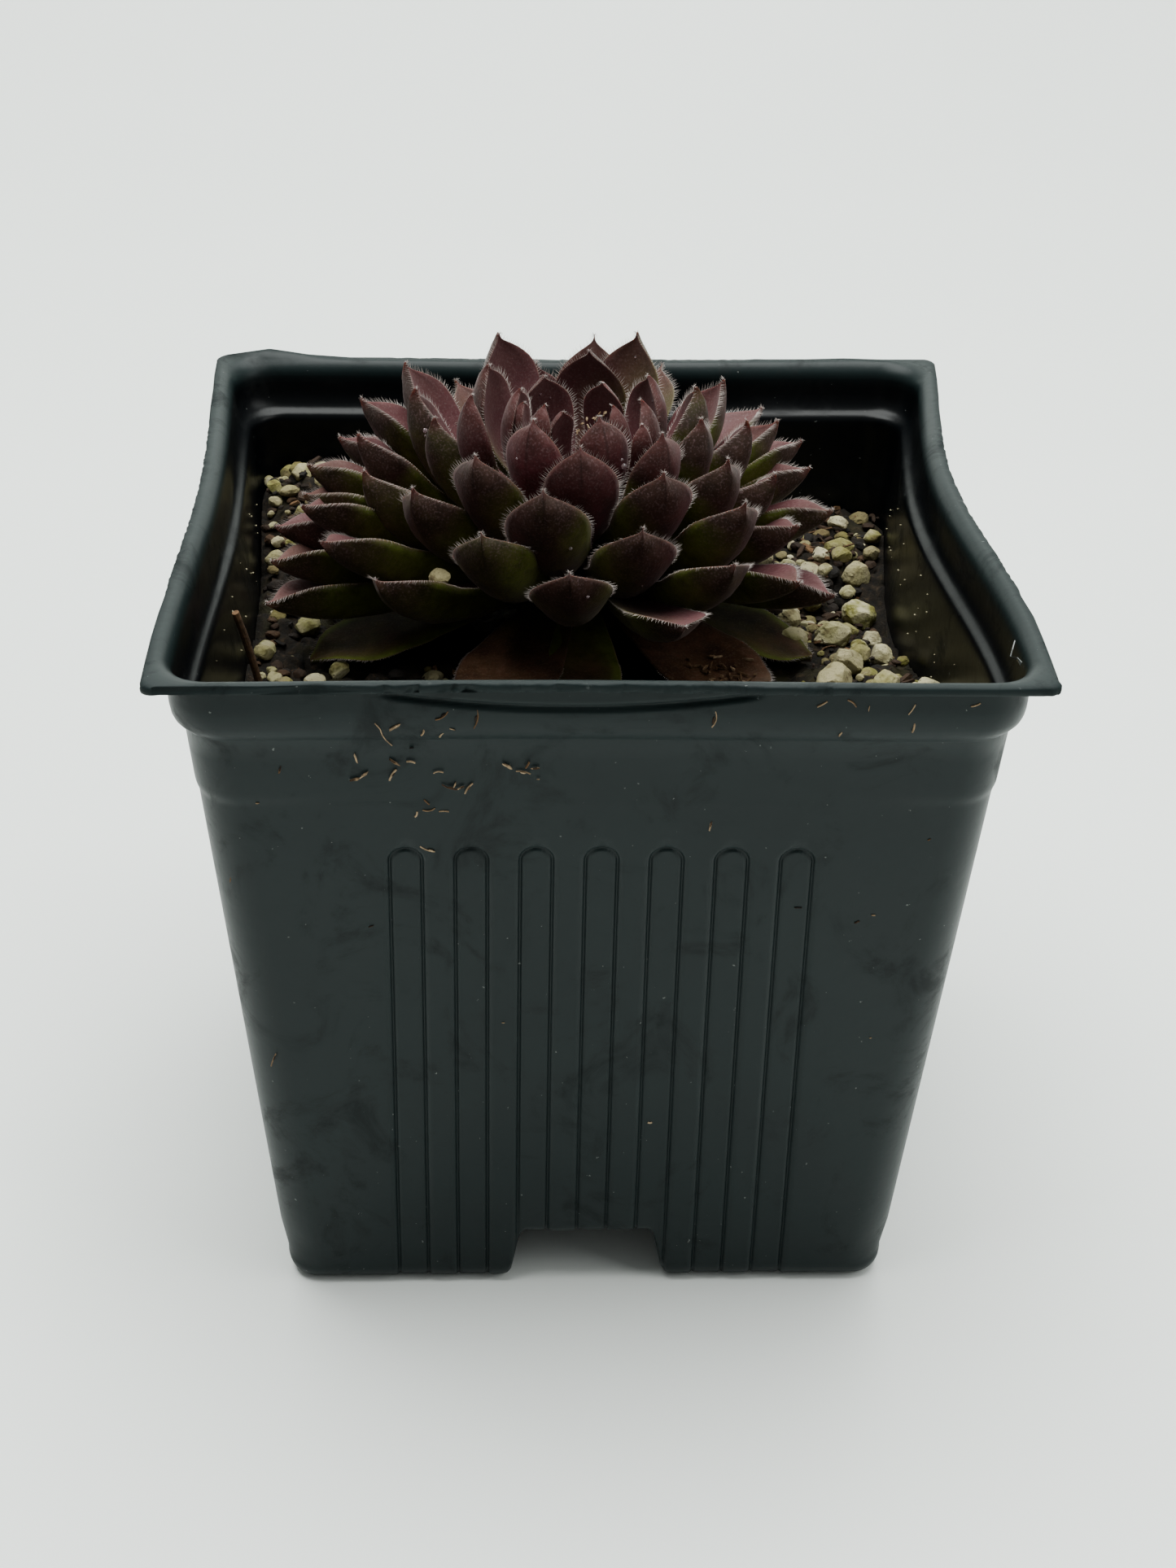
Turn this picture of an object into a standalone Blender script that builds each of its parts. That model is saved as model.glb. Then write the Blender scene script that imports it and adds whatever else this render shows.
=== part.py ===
"""Potted houseleek: a leafy rosette in a square thermoformed nursery pot.

Five solids: the pot, the potting mix with its pumice grains, the plant's short stem, the whorl of old
leaves round that stem, and the rosette of living leaves. Sizes below are in millimetres, +Z up, with the
origin on the ground under the middle of the pot. The plant faces every way; -Y is its photographed front.
"""

import math
import random

import bmesh
import bpy
from mathutils import Matrix, Vector

MM = 0.001
GAP = 0.3

# Pot
RIM_WIDTH = 89.0
POT_HEIGHT = 81.6
WALL = 1.0
BASE_HALF = 33.9
BASE_EDGE_RADIUS = 2.6
SHOULDER_HEIGHT = 73.9
SHOULDER_HALF = 41.2
STEP_HEIGHT = 66.4
STEP_PROUD = 0.2
COLLAR_HALF = 42.5
FLANGE_THICKNESS = 1.0
FLANGE_INNER_HALF = 43.1
CORNER_RADIUS = 5.0
COLLAR_CORNER_RADIUS = 5.0
FLANGE_CORNER_RADIUS = 2.5
SIDE_STEPS = 6
CORNER_STEPS = 4

# How far each side of the soft rim is pushed in: depth, where along the side, and reach either way
DENTS = {
    "right": (3.1, 8.0, 42.0),
    "left": (1.3, 5.0, 42.0),
    "front": (0.6, -6.0, 40.0),
    "back": (0.6, 0.0, 38.0),
}
DENT_BOTTOM = 6.0
DENT_FULL = 66.0
LIP_HEIGHT = 1.1
LIP_CENTRE = (-38.0, 44.0)
LIP_REACH = 7.0

# Flutes pressed into each wall
FLUTES_PER_SIDE = 7
FLUTE_PITCH = 6.63
FLUTE_WIDTH = 3.4
FLUTE_DEPTH = 0.45
FLUTE_TOP = 60.6

# Drain channels under the base, with their holes
CHANNEL_TOP_WIDTH = 14.8
CHANNEL_FOOT_WIDTH = 17.8
CHANNEL_HEIGHT = 7.2
CENTRE_HOLE_RADIUS = 4.4
SIDE_HOLE_RADIUS = 3.4
SIDE_HOLE_PLACE = 18.0

# Potting mix
SOIL_LEVEL = 63.6
SOIL_RINGS = (1.0, 0.93, 0.8, 0.64, 0.46, 0.28, 0.14)
SOIL_MOUNDS = (
    (-31.0, 31.0, 11.0, 8.5),
    (35.0, -26.0, 12.0, 4.0),
    (34.0, 10.0, 11.0, -3.2),
    (-34.0, -22.0, 13.0, -1.6),
    (2.0, -32.0, 16.0, 1.2),
)
GRAINS = 74
GRAIN_SIZES = (1.5, 3.0)
BIG_GRAINS = (
    (26.6, -11.5, 3.5),
    (31.8, -13.4, 2.9),
    (37.0, -14.6, 2.3),
    (24.2, -2.5, 3.0),
    (33.2, 13.5, 3.0),
    (-34.2, 31.5, 3.1),
    (-31.5, 4.5, 2.8),
    (31.5, 27.5, 2.7),
    (-24.0, 35.0, 2.4),
)

# Plant
STEM_PLACE = (-0.8, 9.2)
STEM_RADIUS = 4.6
STEM_BOTTOM = 45.0
STEM_TOP = 70.4

# The rosette's leaves in the order they grew, from the heart outwards
ROSETTE_PLACE = (-0.85, 5.5)
SPIRAL_LEAVES = 48
MISSING = (42,)
LEAF_TURN = -137.1
FIRST_TURN = 253.2
ROSETTE_RADIUS = 31.3
RADIUS_POWER = 0.73
HEART_SHIFT = (0.1, -4.6)
LEAN = (5.5, -2.2)
LEAN_HEIGHT = 70.0
TIP_SHARES = (0.0, 0.25, 0.5, 0.75, 1.0)
TIP_HEIGHTS = (94.0, 94.2, 88.6, 85.6, 80.5)
WIDTH_SHARES = (0.0, 0.05, 0.1, 0.2, 0.45, 0.8, 1.0)
WIDTHS = (2.8, 4.6, 7.2, 8.9, 10.0, 9.4, 8.6)
LEAF_THICKNESS = 2.3
CUP = 0.07
ROOT_CENTRE = (0.0, 4.0)
ROOT_RADIUS = 5.4
ROOT_HEIGHTS = (72.8, 80.5)
BEND_SHARES = (0.0, 0.15, 0.5, 0.75, 1.0)
BENDS = (22.0, 42.0, 48.0, 38.0, 11.0)

# Leaves that stand out of the spiral's order: turned by, moved out by, raised by
NUDGES = {
    1: (0, 0.0, -1.8),
    9: (10, 0.5, -1.6),
    12: (0, 0.0, -1.8),
    17: (0, 0.5, 0.3),
    21: (3, 0.0, 2.0),
    22: (-5, 4.0, 2.5),
    25: (7, 4.5, 1.5),
    27: (0, 0.0, 2.5),
    28: (0, -1.5, 0.0),
    29: (4, 0.0, 0.0),
    33: (0, 3.0, -1.5),
    34: (-7, 0.0, -0.5),
    35: (0, 2.0, 2.8),
    36: (0, -3.5, -2.0),
    37: (-4, 2.0, -4.0),
    38: (0, -1.0, 3.5),
    40: (0, -3.0, 3.2),
    41: (0, 0.0, -1.8),
    44: (0, -4.0, -1.4),
    46: (0, 0.0, 1.2),
    48: (0, -4.3, 6.5),
}
# The lowest living leaves, round the rosette's foot: azimuth, reach, tip height
FOOT_LEAVES = (
    (15, 27.7, 79.2),
    (28, 30.0, 79.0),
    (45, 32.0, 79.0),
    (76, 30.0, 81.0),
    (101, 30.5, 80.0),
    (126, 31.0, 79.5),
    (153, 30.2, 81.6),
    (172, 30.2, 83.2),
    (179, 30.4, 81.6),
    (187, 30.5, 82.4),
    (181, 33.7, 78.2),
    (191, 34.5, 77.2),
    (197, 36.0, 74.2),
    (-36, 29.0, 78.5),
    (-18, 29.6, 72.0),
    (-2, 28.6, 78.2),
)

# Old leaves that lie down on the mix: azimuth, reach, width
OLD_LEAVES = (
    (-178, 29.0, 10.0),
    (-155, 33.0, 12.0),
    (-111, 31.0, 11.5),
    (-90, 30.0, 8.5),
    (-53, 32.0, 12.5),
    (-27, 29.0, 10.0),
)
OLD_LEAF_THICKNESS = 1.5
OLD_ROOT_HEIGHT = 68.2
RING_INNER = STEM_RADIUS + GAP
RING_OUTER = 8.6
RING_FOOT = 66.4
RING_TOP = 69.8

POT_COLOUR = (0.030, 0.036, 0.036, 1.0)
SOIL_COLOUR = (0.060, 0.045, 0.032, 1.0)
STEM_COLOUR = (0.16, 0.12, 0.06, 1.0)
OLD_LEAF_COLOUR = (0.075, 0.060, 0.030, 1.0)
ROSETTE_COLOUR = (0.090, 0.035, 0.040, 1.0)


def clear_scene():
    for old in list(bpy.data.objects):
        bpy.data.objects.remove(old, do_unlink=True)


def new_collection(name, hidden=False):
    made = bpy.data.collections.new(name)
    bpy.context.scene.collection.children.link(made)
    made.hide_render = hidden
    return made


def plain_material(name, colour, roughness):
    made = bpy.data.materials.new(name)
    made.use_nodes = True
    shader = made.node_tree.nodes["Principled BSDF"]
    shader.inputs["Base Color"].default_value = colour
    shader.inputs["Roughness"].default_value = roughness
    shader.inputs["Metallic"].default_value = 0.0
    return made


def add_object(name, points, faces, collection, material=None):
    """A mesh object from points in millimetres, with its faces turned outwards."""
    mesh = bpy.data.meshes.new(name)
    mesh.from_pydata([(x * MM, y * MM, z * MM) for x, y, z in points], [], faces)
    work = bmesh.new()
    work.from_mesh(mesh)
    bmesh.ops.recalc_face_normals(work, faces=work.faces)
    work.to_mesh(mesh)
    work.free()
    made = bpy.data.objects.new(name, mesh)
    collection.objects.link(made)
    if material:
        mesh.materials.append(material)
    return made


def loft(rings):
    """Points and faces of a closed loft through rings of equal count, with flat ends."""
    count = len(rings[0])
    points = [point for ring in rings for point in ring]
    faces = [tuple(reversed(range(count)))]
    for level in range(len(rings) - 1):
        low = level * count
        for step in range(count):
            after = (step + 1) % count
            faces.append((low + step, low + after, low + count + after, low + count + step))
    faces.append(tuple((len(rings) - 1) * count + step for step in range(count)))
    return points, faces


def apply_boolean(target, other, operation, solver="EXACT"):
    """Cuts or joins the other object (or every object of a collection) and removes what it used."""
    modifier = target.modifiers.new("boolean", "BOOLEAN")
    modifier.operation = operation
    modifier.solver = solver
    used = [other]
    if isinstance(other, bpy.types.Collection):
        modifier.operand_type = "COLLECTION"
        modifier.collection = other
        used = list(other.objects)
    else:
        modifier.object = other
    graph = bpy.context.evaluated_depsgraph_get()
    mesh = bpy.data.meshes.new_from_object(target.evaluated_get(graph))
    target.modifiers.remove(modifier)
    target.data = mesh
    for item in used:
        bpy.data.objects.remove(item, do_unlink=True)


def keep_main_shell(target):
    """Drops every separate shell but the largest, so hollows sealed by a union are filled."""
    work = bmesh.new()
    work.from_mesh(target.data)
    bmesh.ops.remove_doubles(work, verts=work.verts, dist=0.002 * MM)
    left = set(work.verts)
    shells = []
    while left:
        queue = [left.pop()]
        shell = list(queue)
        while queue:
            for edge in queue.pop().link_edges:
                for vertex in edge.verts:
                    if vertex in left:
                        left.remove(vertex)
                        shell.append(vertex)
                        queue.append(vertex)
        shells.append(shell)
    shells.sort(key=len)
    for shell in shells[:-1]:
        bmesh.ops.delete(work, geom=shell, context="VERTS")
    work.to_mesh(target.data)
    work.free()


def smooth(share):
    share = min(max(share, 0.0), 1.0)
    return share * share * (3.0 - 2.0 * share)


def direction(azimuth):
    turn = math.radians(azimuth)
    return Vector((math.cos(turn), math.sin(turn), 0.0))


def square_ring(half, corner, z):
    """A rounded square: each side in equal steps, then its corner as an arc."""
    ring = []
    reach = half - corner
    for quarter in range(4):
        turn = Matrix.Rotation(math.radians(90 * quarter), 3, "Z")
        side = [Vector((half, -reach + 2 * reach * k / SIDE_STEPS, z)) for k in range(SIDE_STEPS)]
        for k in range(CORNER_STEPS):
            angle = math.radians(90 * k / CORNER_STEPS)
            side.append(Vector((reach + corner * math.cos(angle), reach + corner * math.sin(angle), z)))
        ring += [tuple(turn @ point) for point in side]
    return ring


def wall_half(z):
    """Half the pot's outer width at a height of its tapered wall."""
    return BASE_HALF + (SHOULDER_HALF - STEP_PROUD - BASE_HALF) * z / SHOULDER_HEIGHT


def dent_at(side, along):
    depth, centre, reach = DENTS[side]
    share = min(abs(along - centre) / reach, 1.0)
    return depth * math.cos(0.5 * math.pi * share) ** 2


def dented(point):
    """Where a point of the straight pot lies on the real, slightly squeezed one."""
    x, y, z = point
    share = smooth((z - DENT_BOTTOM) / (DENT_FULL - DENT_BOTTOM))
    near_x = smooth((abs(x) - 22.0) / 13.0)
    near_y = smooth((abs(y) - 22.0) / 13.0)
    shift_x = dent_at("right", y) if x > 0 else -dent_at("left", y)
    shift_y = dent_at("back", x) if y > 0 else -dent_at("front", x)
    return x - shift_x * share * near_x, y - shift_y * share * near_y, z


def dent_mesh(target):
    for vertex in target.data.vertices:
        vertex.co = Vector(dented(vertex.co / MM)) * MM


def outer_levels():
    """The pot's outside as half width, corner radius and height, from the ground up to the flange."""
    levels = []
    for angle in (0, 32, 62, 90):
        turn = math.radians(angle)
        half = BASE_HALF - BASE_EDGE_RADIUS * (1 - math.sin(turn))
        levels.append((half, CORNER_RADIUS - 3.0 * math.cos(turn), BASE_EDGE_RADIUS * (1 - math.cos(turn))))
    for z in (24.0, 46.0, STEP_HEIGHT):
        levels.append((wall_half(z), CORNER_RADIUS, z))
    under = POT_HEIGHT - FLANGE_THICKNESS
    levels += [
        (wall_half(STEP_HEIGHT + 1.2) + STEP_PROUD, CORNER_RADIUS, STEP_HEIGHT + 1.2),
        (SHOULDER_HALF, CORNER_RADIUS, SHOULDER_HEIGHT),
        (COLLAR_HALF - 0.3, COLLAR_CORNER_RADIUS, SHOULDER_HEIGHT + 1.8),
        (COLLAR_HALF, COLLAR_CORNER_RADIUS, SHOULDER_HEIGHT + 3.6),
        (COLLAR_HALF - 0.2, COLLAR_CORNER_RADIUS, under),
        (0.5 * RIM_WIDTH, FLANGE_CORNER_RADIUS, under + 0.1),
        (0.5 * RIM_WIDTH, FLANGE_CORNER_RADIUS, POT_HEIGHT),
    ]
    return levels


def inner_half(z):
    """Half the pot's inner width on its tapered wall."""
    return wall_half(z) - WALL


def cavity_levels(clear=0.0):
    """The pot's inside from its floor to above the rim, drawn in by a clearance."""
    levels = []
    for angle in (0, 45, 90):
        turn = math.radians(angle)
        half = BASE_HALF - WALL - (BASE_EDGE_RADIUS - WALL) * (1 - math.sin(turn))
        z = WALL + (BASE_EDGE_RADIUS - WALL) * (1 - math.cos(turn))
        levels.append((half - clear, CORNER_RADIUS - WALL - 3.0 * math.cos(turn), z + clear))
    for z in (30.0, STEP_HEIGHT):
        levels.append((inner_half(z) - clear, CORNER_RADIUS - WALL, z))
    return levels


def mouth_levels():
    """The collar's inside and the flange's rounded inner edge, above the cavity's walls."""
    inside = COLLAR_HALF - WALL
    corner = COLLAR_CORNER_RADIUS
    return [
        (SHOULDER_HALF - WALL, CORNER_RADIUS - WALL, SHOULDER_HEIGHT - 0.2),
        (inside - 0.4, corner, SHOULDER_HEIGHT + 1.7),
        (inside, corner, SHOULDER_HEIGHT + 3.6),
        (inside + 0.4, corner, POT_HEIGHT - 1.3),
        (FLANGE_INNER_HALF - 0.5, corner, POT_HEIGHT - 0.3),
        (FLANGE_INNER_HALF + 2.5, corner, POT_HEIGHT + 1.5),
    ]


def channel_outline(grow):
    """Half-section of a drain channel: flared sides and a flat roof with rounded corners."""
    foot = 0.5 * CHANNEL_FOOT_WIDTH + grow
    top = 0.5 * CHANNEL_TOP_WIDTH + grow
    roof = CHANNEL_HEIGHT + grow
    bend = 1.6 + grow
    right = [(foot + 0.6, -2.0), (foot, 0.0), (top + 0.3, roof - bend)]
    right += [(top - 0.3 * bend, roof - 0.3 * bend), (top - bend, roof)]
    return right + [(-x, z) for x, z in reversed(right)]


def channel(name, grow, length, turn, collection):
    rings = []
    for end in (-length, length):
        rings.append([(x, end, z) for x, z in channel_outline(grow)])
    made = add_object(name, *loft(rings), collection)
    made.data.transform(Matrix.Rotation(turn, 4, "Z"))
    return made


def cut_channels(target, grow, cutters):
    for number, turn in enumerate((0.0, math.radians(90))):
        cutter = channel(f"channel_{number}", grow, RIM_WIDTH, turn, cutters)
        apply_boolean(target, cutter, "DIFFERENCE")


def flute_outline():
    """A bar with a round top, as seen facing the wall; it runs out below the base."""
    radius = 0.5 * FLUTE_WIDTH
    outline = [(-radius, -8.0), (radius, -8.0)]
    for k in range(7):
        angle = math.pi * k / 6
        outline.append((radius * math.cos(angle), FLUTE_TOP - radius + radius * math.sin(angle)))
    return outline


def flute_cutters(cutters):
    """Bars that press the flutes into the four tapered walls."""
    middle = 0.5 * (FLUTES_PER_SIDE - 1)
    for side in range(4):
        turn = Matrix.Rotation(math.radians(90 * side), 3, "Z")
        for number in range(FLUTES_PER_SIDE):
            centre = (number - middle) * FLUTE_PITCH
            rings = []
            for proud in (-FLUTE_DEPTH, 4.0):
                ring = [Vector((centre + x, -wall_half(z) - proud, z)) for x, z in flute_outline()]
                rings.append([tuple(turn @ point) for point in ring])
            add_object(f"flute_{side}_{number}", *loft(rings), cutters)


def raise_lip(target):
    """The torn lip at the back left corner of the flange."""
    for vertex in target.data.vertices:
        x, y, z = vertex.co / MM
        if z < POT_HEIGHT - 0.1 or max(abs(x), abs(y)) < 0.5 * RIM_WIDTH - 0.4:
            continue
        away = math.hypot(x - LIP_CENTRE[0], y - LIP_CENTRE[1]) / LIP_REACH
        vertex.co.z += LIP_HEIGHT * MM * smooth(1.0 - away)


def build_pot(parts, cutters, material):
    rings = [square_ring(*level) for level in outer_levels()]
    pot = add_object("pot", *loft(rings), parts, material)
    flutes = new_collection("flute cutters", hidden=True)
    flute_cutters(flutes)
    apply_boolean(pot, flutes, "DIFFERENCE")
    bpy.data.collections.remove(flutes)
    cut_channels(pot, 0.0, cutters)
    rings = [square_ring(*level) for level in cavity_levels() + mouth_levels()]
    cavity = add_object("cavity", *loft(rings), cutters)
    cut_channels(cavity, WALL, cutters)
    apply_boolean(pot, cavity, "DIFFERENCE")
    places = [(0.0, 0.0, CENTRE_HOLE_RADIUS)]
    for turn in range(4):
        angle = math.radians(90 * turn)
        x = SIDE_HOLE_PLACE * math.cos(angle)
        y = SIDE_HOLE_PLACE * math.sin(angle)
        places.append((x, y, SIDE_HOLE_RADIUS))
    for x, y, radius in places:
        bpy.ops.mesh.primitive_cylinder_add(vertices=12, radius=radius * MM, depth=12 * MM)
        hole = bpy.context.object
        hole.data.transform(Matrix.Translation((x * MM, y * MM, CHANNEL_HEIGHT * MM)))
        apply_boolean(pot, hole, "DIFFERENCE")
    raise_lip(pot)
    dent_mesh(pot)
    return pot


def soil_height(x, y):
    """The surface of the potting mix: a plain level with heaps and hollows."""
    z = SOIL_LEVEL
    for centre_x, centre_y, reach, rise in SOIL_MOUNDS:
        away = math.hypot(x - centre_x, y - centre_y) / reach
        z += rise * math.exp(-away * away)
    ripple = math.sin(0.61 * x + 1.3) * math.cos(0.53 * y) + 0.6 * math.sin(0.37 * x - 0.45 * y)
    return z + 0.35 * ripple


def grain(name, place, radius, draw, collection):
    """One pumice grain: a faceted ball, squeezed and knocked out of round."""
    work = bmesh.new()
    bmesh.ops.create_icosphere(work, subdivisions=1, radius=radius * MM)
    stretch = [draw.uniform(0.8, 1.15) for _ in range(3)]
    spin = Matrix.Rotation(draw.uniform(0, math.tau), 3, Vector((draw.random(), draw.random(), 1.0)))
    for vertex in work.verts:
        knock = draw.uniform(0.88, 1.1)
        vertex.co = spin @ Vector([value * size * knock for value, size in zip(vertex.co, stretch)])
        vertex.co += Vector(place) * MM
    mesh = bpy.data.meshes.new(name)
    work.to_mesh(mesh)
    work.free()
    made = bpy.data.objects.new(name, mesh)
    collection.objects.link(made)


def under_old_leaf(x, y, radius):
    """Whether a grain would stand in the way of an old leaf or of the stem."""
    from_stem = Vector((x - STEM_PLACE[0], y - STEM_PLACE[1], 0.0))
    if from_stem.length < 13.0 + radius:
        return True
    for azimuth, reach, width in OLD_LEAVES:
        out = direction(azimuth)
        along = min(max(from_stem.dot(out), 0.0), reach)
        if (from_stem - out * along).length < 0.5 * width + 1.2 * radius + GAP:
            return True
    return False


def grain_places(draw):
    """Big grains where they show, then small ones wherever there is room clear of the leaves."""
    places = [place for place in BIG_GRAINS if not under_old_leaf(*place)]
    tries = 0
    while len(places) < GRAINS and tries < 6000:
        tries += 1
        radius = draw.uniform(*GRAIN_SIZES)
        x = draw.uniform(-39.0, 39.0)
        y = draw.uniform(-39.0, 39.0)
        if under_old_leaf(x, y, radius):
            continue
        room = inner_half(soil_height(x, y)) - GAP - radius * 1.3
        edge_x = dent_at("right", y) if x > 0 else dent_at("left", y)
        edge_y = dent_at("back", x) if y > 0 else dent_at("front", x)
        if abs(x) > room - edge_x or abs(y) > room - edge_y:
            continue
        if math.hypot(max(abs(x), 31.0) - 31.0, max(abs(y), 31.0) - 31.0) > 5.0 - radius:
            continue
        clash = any(math.hypot(x - a, y - b) < 0.8 * (radius + r) for a, b, r in places)
        if not clash:
            places.append((x, y, radius))
    return places


def build_soil(parts, cutters, material):
    draw = random.Random(7)
    levels = cavity_levels(GAP)
    rings = [square_ring(*level) for level in levels[:-1]]
    half = inner_half(SOIL_LEVEL) - GAP
    edge = square_ring(half, CORNER_RADIUS - WALL, SOIL_LEVEL)
    for share in SOIL_RINGS:
        ring = []
        for x, y, _ in edge:
            ring.append((x * share, y * share, soil_height(x * share, y * share)))
        rings.append(ring)
    points, faces = loft(rings)
    soil = add_object("soil", points, faces, parts, material)
    cut_channels(soil, WALL + GAP, cutters)
    grains = new_collection("grains", hidden=True)
    for number, (x, y, radius) in enumerate(grain_places(draw)):
        sink = draw.uniform(0.05, 0.4) * radius
        grain(f"grain_{number}", (x, y, soil_height(x, y) + 0.3 * radius - sink), radius, draw, grains)
    apply_boolean(soil, grains, "UNION")
    bpy.data.collections.remove(grains)
    bounds = cavity_levels(0.8 * GAP)
    bounds.append((bounds[-1][0], bounds[-1][1], POT_HEIGHT))
    bounds = [square_ring(*level) for level in bounds]
    apply_boolean(soil, add_object("inside of pot", *loft(bounds), cutters), "INTERSECT")
    keep_main_shell(soil)
    bpy.ops.mesh.primitive_cylinder_add(vertices=16, radius=(STEM_RADIUS + GAP) * MM, depth=60 * MM)
    hole = bpy.context.object
    middle = STEM_BOTTOM - GAP + 30
    hole.data.transform(Matrix.Translation((STEM_PLACE[0] * MM, STEM_PLACE[1] * MM, middle * MM)))
    apply_boolean(soil, hole, "DIFFERENCE")
    dent_mesh(soil)
    return soil


def build_stem(parts, material):
    """The short woody stem, a turned shape standing in the hole in the mix."""
    profile = [(0.0, STEM_TOP), (STEM_RADIUS - 0.5, STEM_TOP), (STEM_RADIUS, STEM_TOP - 0.8)]
    profile += [(STEM_RADIUS, STEM_TOP - 8.0), (3.4, STEM_BOTTOM + 6.0), (1.8, STEM_BOTTOM)]
    profile.append((0.0, STEM_BOTTOM))
    mesh = bpy.data.meshes.new("stem")
    points = [(radius * MM, 0.0, z * MM) for radius, z in profile]
    mesh.from_pydata(points, [(k, k + 1) for k in range(len(points) - 1)], [])
    mesh.materials.append(material)
    stem = bpy.data.objects.new("stem", mesh)
    stem.location = (STEM_PLACE[0] * MM, STEM_PLACE[1] * MM, 0.0)
    parts.objects.link(stem)
    screw = stem.modifiers.new("turn", "SCREW")
    screw.steps = 14
    screw.render_steps = 14
    screw.use_merge_vertices = True
    screw.merge_threshold = 0.00005
    screw.use_smooth_shade = True
    return stem


def between(shares, values, share):
    """The value at a share, by straight lines between the given ones."""
    for k in range(len(shares) - 1):
        if share <= shares[k + 1]:
            part = (share - shares[k]) / (shares[k + 1] - shares[k])
            return values[k] + (values[k + 1] - values[k]) * max(part, 0.0)
    return values[-1]


def leaned(point):
    """A point of the upright rosette on the plant's real, slightly leaning place."""
    turn = Matrix.Rotation(math.radians(LEAN[1]), 3, "Y") @ Matrix.Rotation(math.radians(LEAN[0]), 3, "X")
    pivot = Vector((0.0, 0.0, LEAN_HEIGHT))
    return turn @ (point - pivot) + pivot + Vector((*ROSETTE_PLACE, 0.0))


def curve_point(handles, share):
    """A point of the cubic curve through four handles."""
    rest = 1.0 - share
    a, b, c, d = handles
    return a * rest**3 + b * 3 * rest**2 * share + c * 3 * rest * share**2 + d * share**3


# Down a leaf from its tip: distance as a share of the width, then shares of width and thickness
TIP_STATIONS = (
    (1.0, 0.98, 1.0),
    (0.6, 1.0, 0.86),
    (0.33, 0.8, 0.66),
    (0.15, 0.42, 0.46),
    (0.07, 0.12, 0.3),
)
ROOT_STATIONS = ((0.0, 0.5, 0.8), (0.35, 0.8, 1.0))
OLD_LEAF_STATIONS = (
    (0.0, 0.45, 1.0),
    (0.3, 0.72, 1.0),
    (0.6, 1.0, 1.0),
    (0.78, 0.92, 0.8),
    (0.9, 0.58, 0.6),
    (0.96, 0.25, 0.5),
    (1.0, 0.08, 0.5),
)


def blade(name, handles, side, width, thickness, collection):
    """A fleshy leaf along a curve: a keeled section at each station, drawn out to its point."""
    length = (handles[3] - handles[0]).length
    stations = list(ROOT_STATIONS)
    for back, wide, thick in TIP_STATIONS:
        share = 1.0 - back * width / length
        if share > stations[-1][0] + 0.06:
            stations.append((share, wide, thick))
    rings = []
    for share, wide, thick in stations:
        middle = curve_point(handles, share)
        ahead = curve_point(handles, min(share + 0.02, 1.0)) - curve_point(handles, max(share - 0.02, 0.0))
        up = ahead.normalized().cross(side).normalized()
        half = 0.5 * width * wide
        deep = max(thickness * thick, 0.65)
        hollow = CUP * width * wide
        section = [(-1.0, hollow), (-0.5, -0.66 * deep), (0.0, -deep), (0.5, -0.66 * deep), (1.0, hollow)]
        section += [(0.0, 0.0)]
        rings.append([tuple(middle + side * (half * x) + up * z) for x, z in section])
    points, faces = loft(rings)
    count = len(rings[0])
    last = (len(rings) - 1) * count
    faces.pop()
    points.append(tuple(handles[3]))
    faces += [(last + k, last + (k + 1) % count, len(points) - 1) for k in range(count)]
    return add_object(name, points, faces, collection)


def rosette_leaf(name, out, share, reach, tip_height, collection):
    """One living leaf, from its root on the heart to its tip on the dome."""
    rest = 1.0 - share
    tip = Vector((*HEART_SHIFT, 0.0)) * rest + out * reach
    centre = Vector((*HEART_SHIFT, 0.0)).lerp(Vector((*ROOT_CENTRE, 0.0)), smooth(share / 0.4))
    out = (tip - centre).normalized()
    tip.z = tip_height
    root = centre + out * (ROOT_RADIUS * share**0.6)
    root.z = ROOT_HEIGHTS[0] + (ROOT_HEIGHTS[1] - ROOT_HEIGHTS[0]) * rest**1.2
    chord = tip - root
    rise = math.atan2(chord.z, chord.dot(out))
    length = chord.length
    bend = math.radians(between(BEND_SHARES, BENDS, share))
    start = rise - bend
    end = rise + bend
    near = root + (out * math.cos(start) + Vector((0, 0, math.sin(start)))) * 0.38 * length
    far = tip - (out * math.cos(end) + Vector((0, 0, math.sin(end)))) * 0.4 * length
    handles = [leaned(point) for point in (root, near, far, tip)]
    side = (leaned(root + Vector((-out.y, out.x, 0.0))) - handles[0]).normalized()
    width = between(WIDTH_SHARES, WIDTHS, share)
    thickness = LEAF_THICKNESS * min(1.0, 0.62 + share)
    blade(name, handles, side, width, thickness, collection)


def grow_leaves(collection):
    """The spiral of leaves from the heart outwards, then those round the foot."""
    for number in range(1, SPIRAL_LEAVES + 1):
        if number in MISSING:
            continue
        turn, further, higher = NUDGES.get(number, (0, 0.0, 0.0))
        share = number / SPIRAL_LEAVES
        out = direction(FIRST_TURN + LEAF_TURN * number + turn)
        reach = ROSETTE_RADIUS * share**RADIUS_POWER + further
        height = between(TIP_SHARES, TIP_HEIGHTS, share) + higher
        rosette_leaf(f"leaf_{number}", out, share, reach, height, collection)
    for number, (azimuth, reach, height) in enumerate(FOOT_LEAVES):
        rosette_leaf(f"foot_leaf_{number}", direction(azimuth), 1.0, reach, height, collection)


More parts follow.
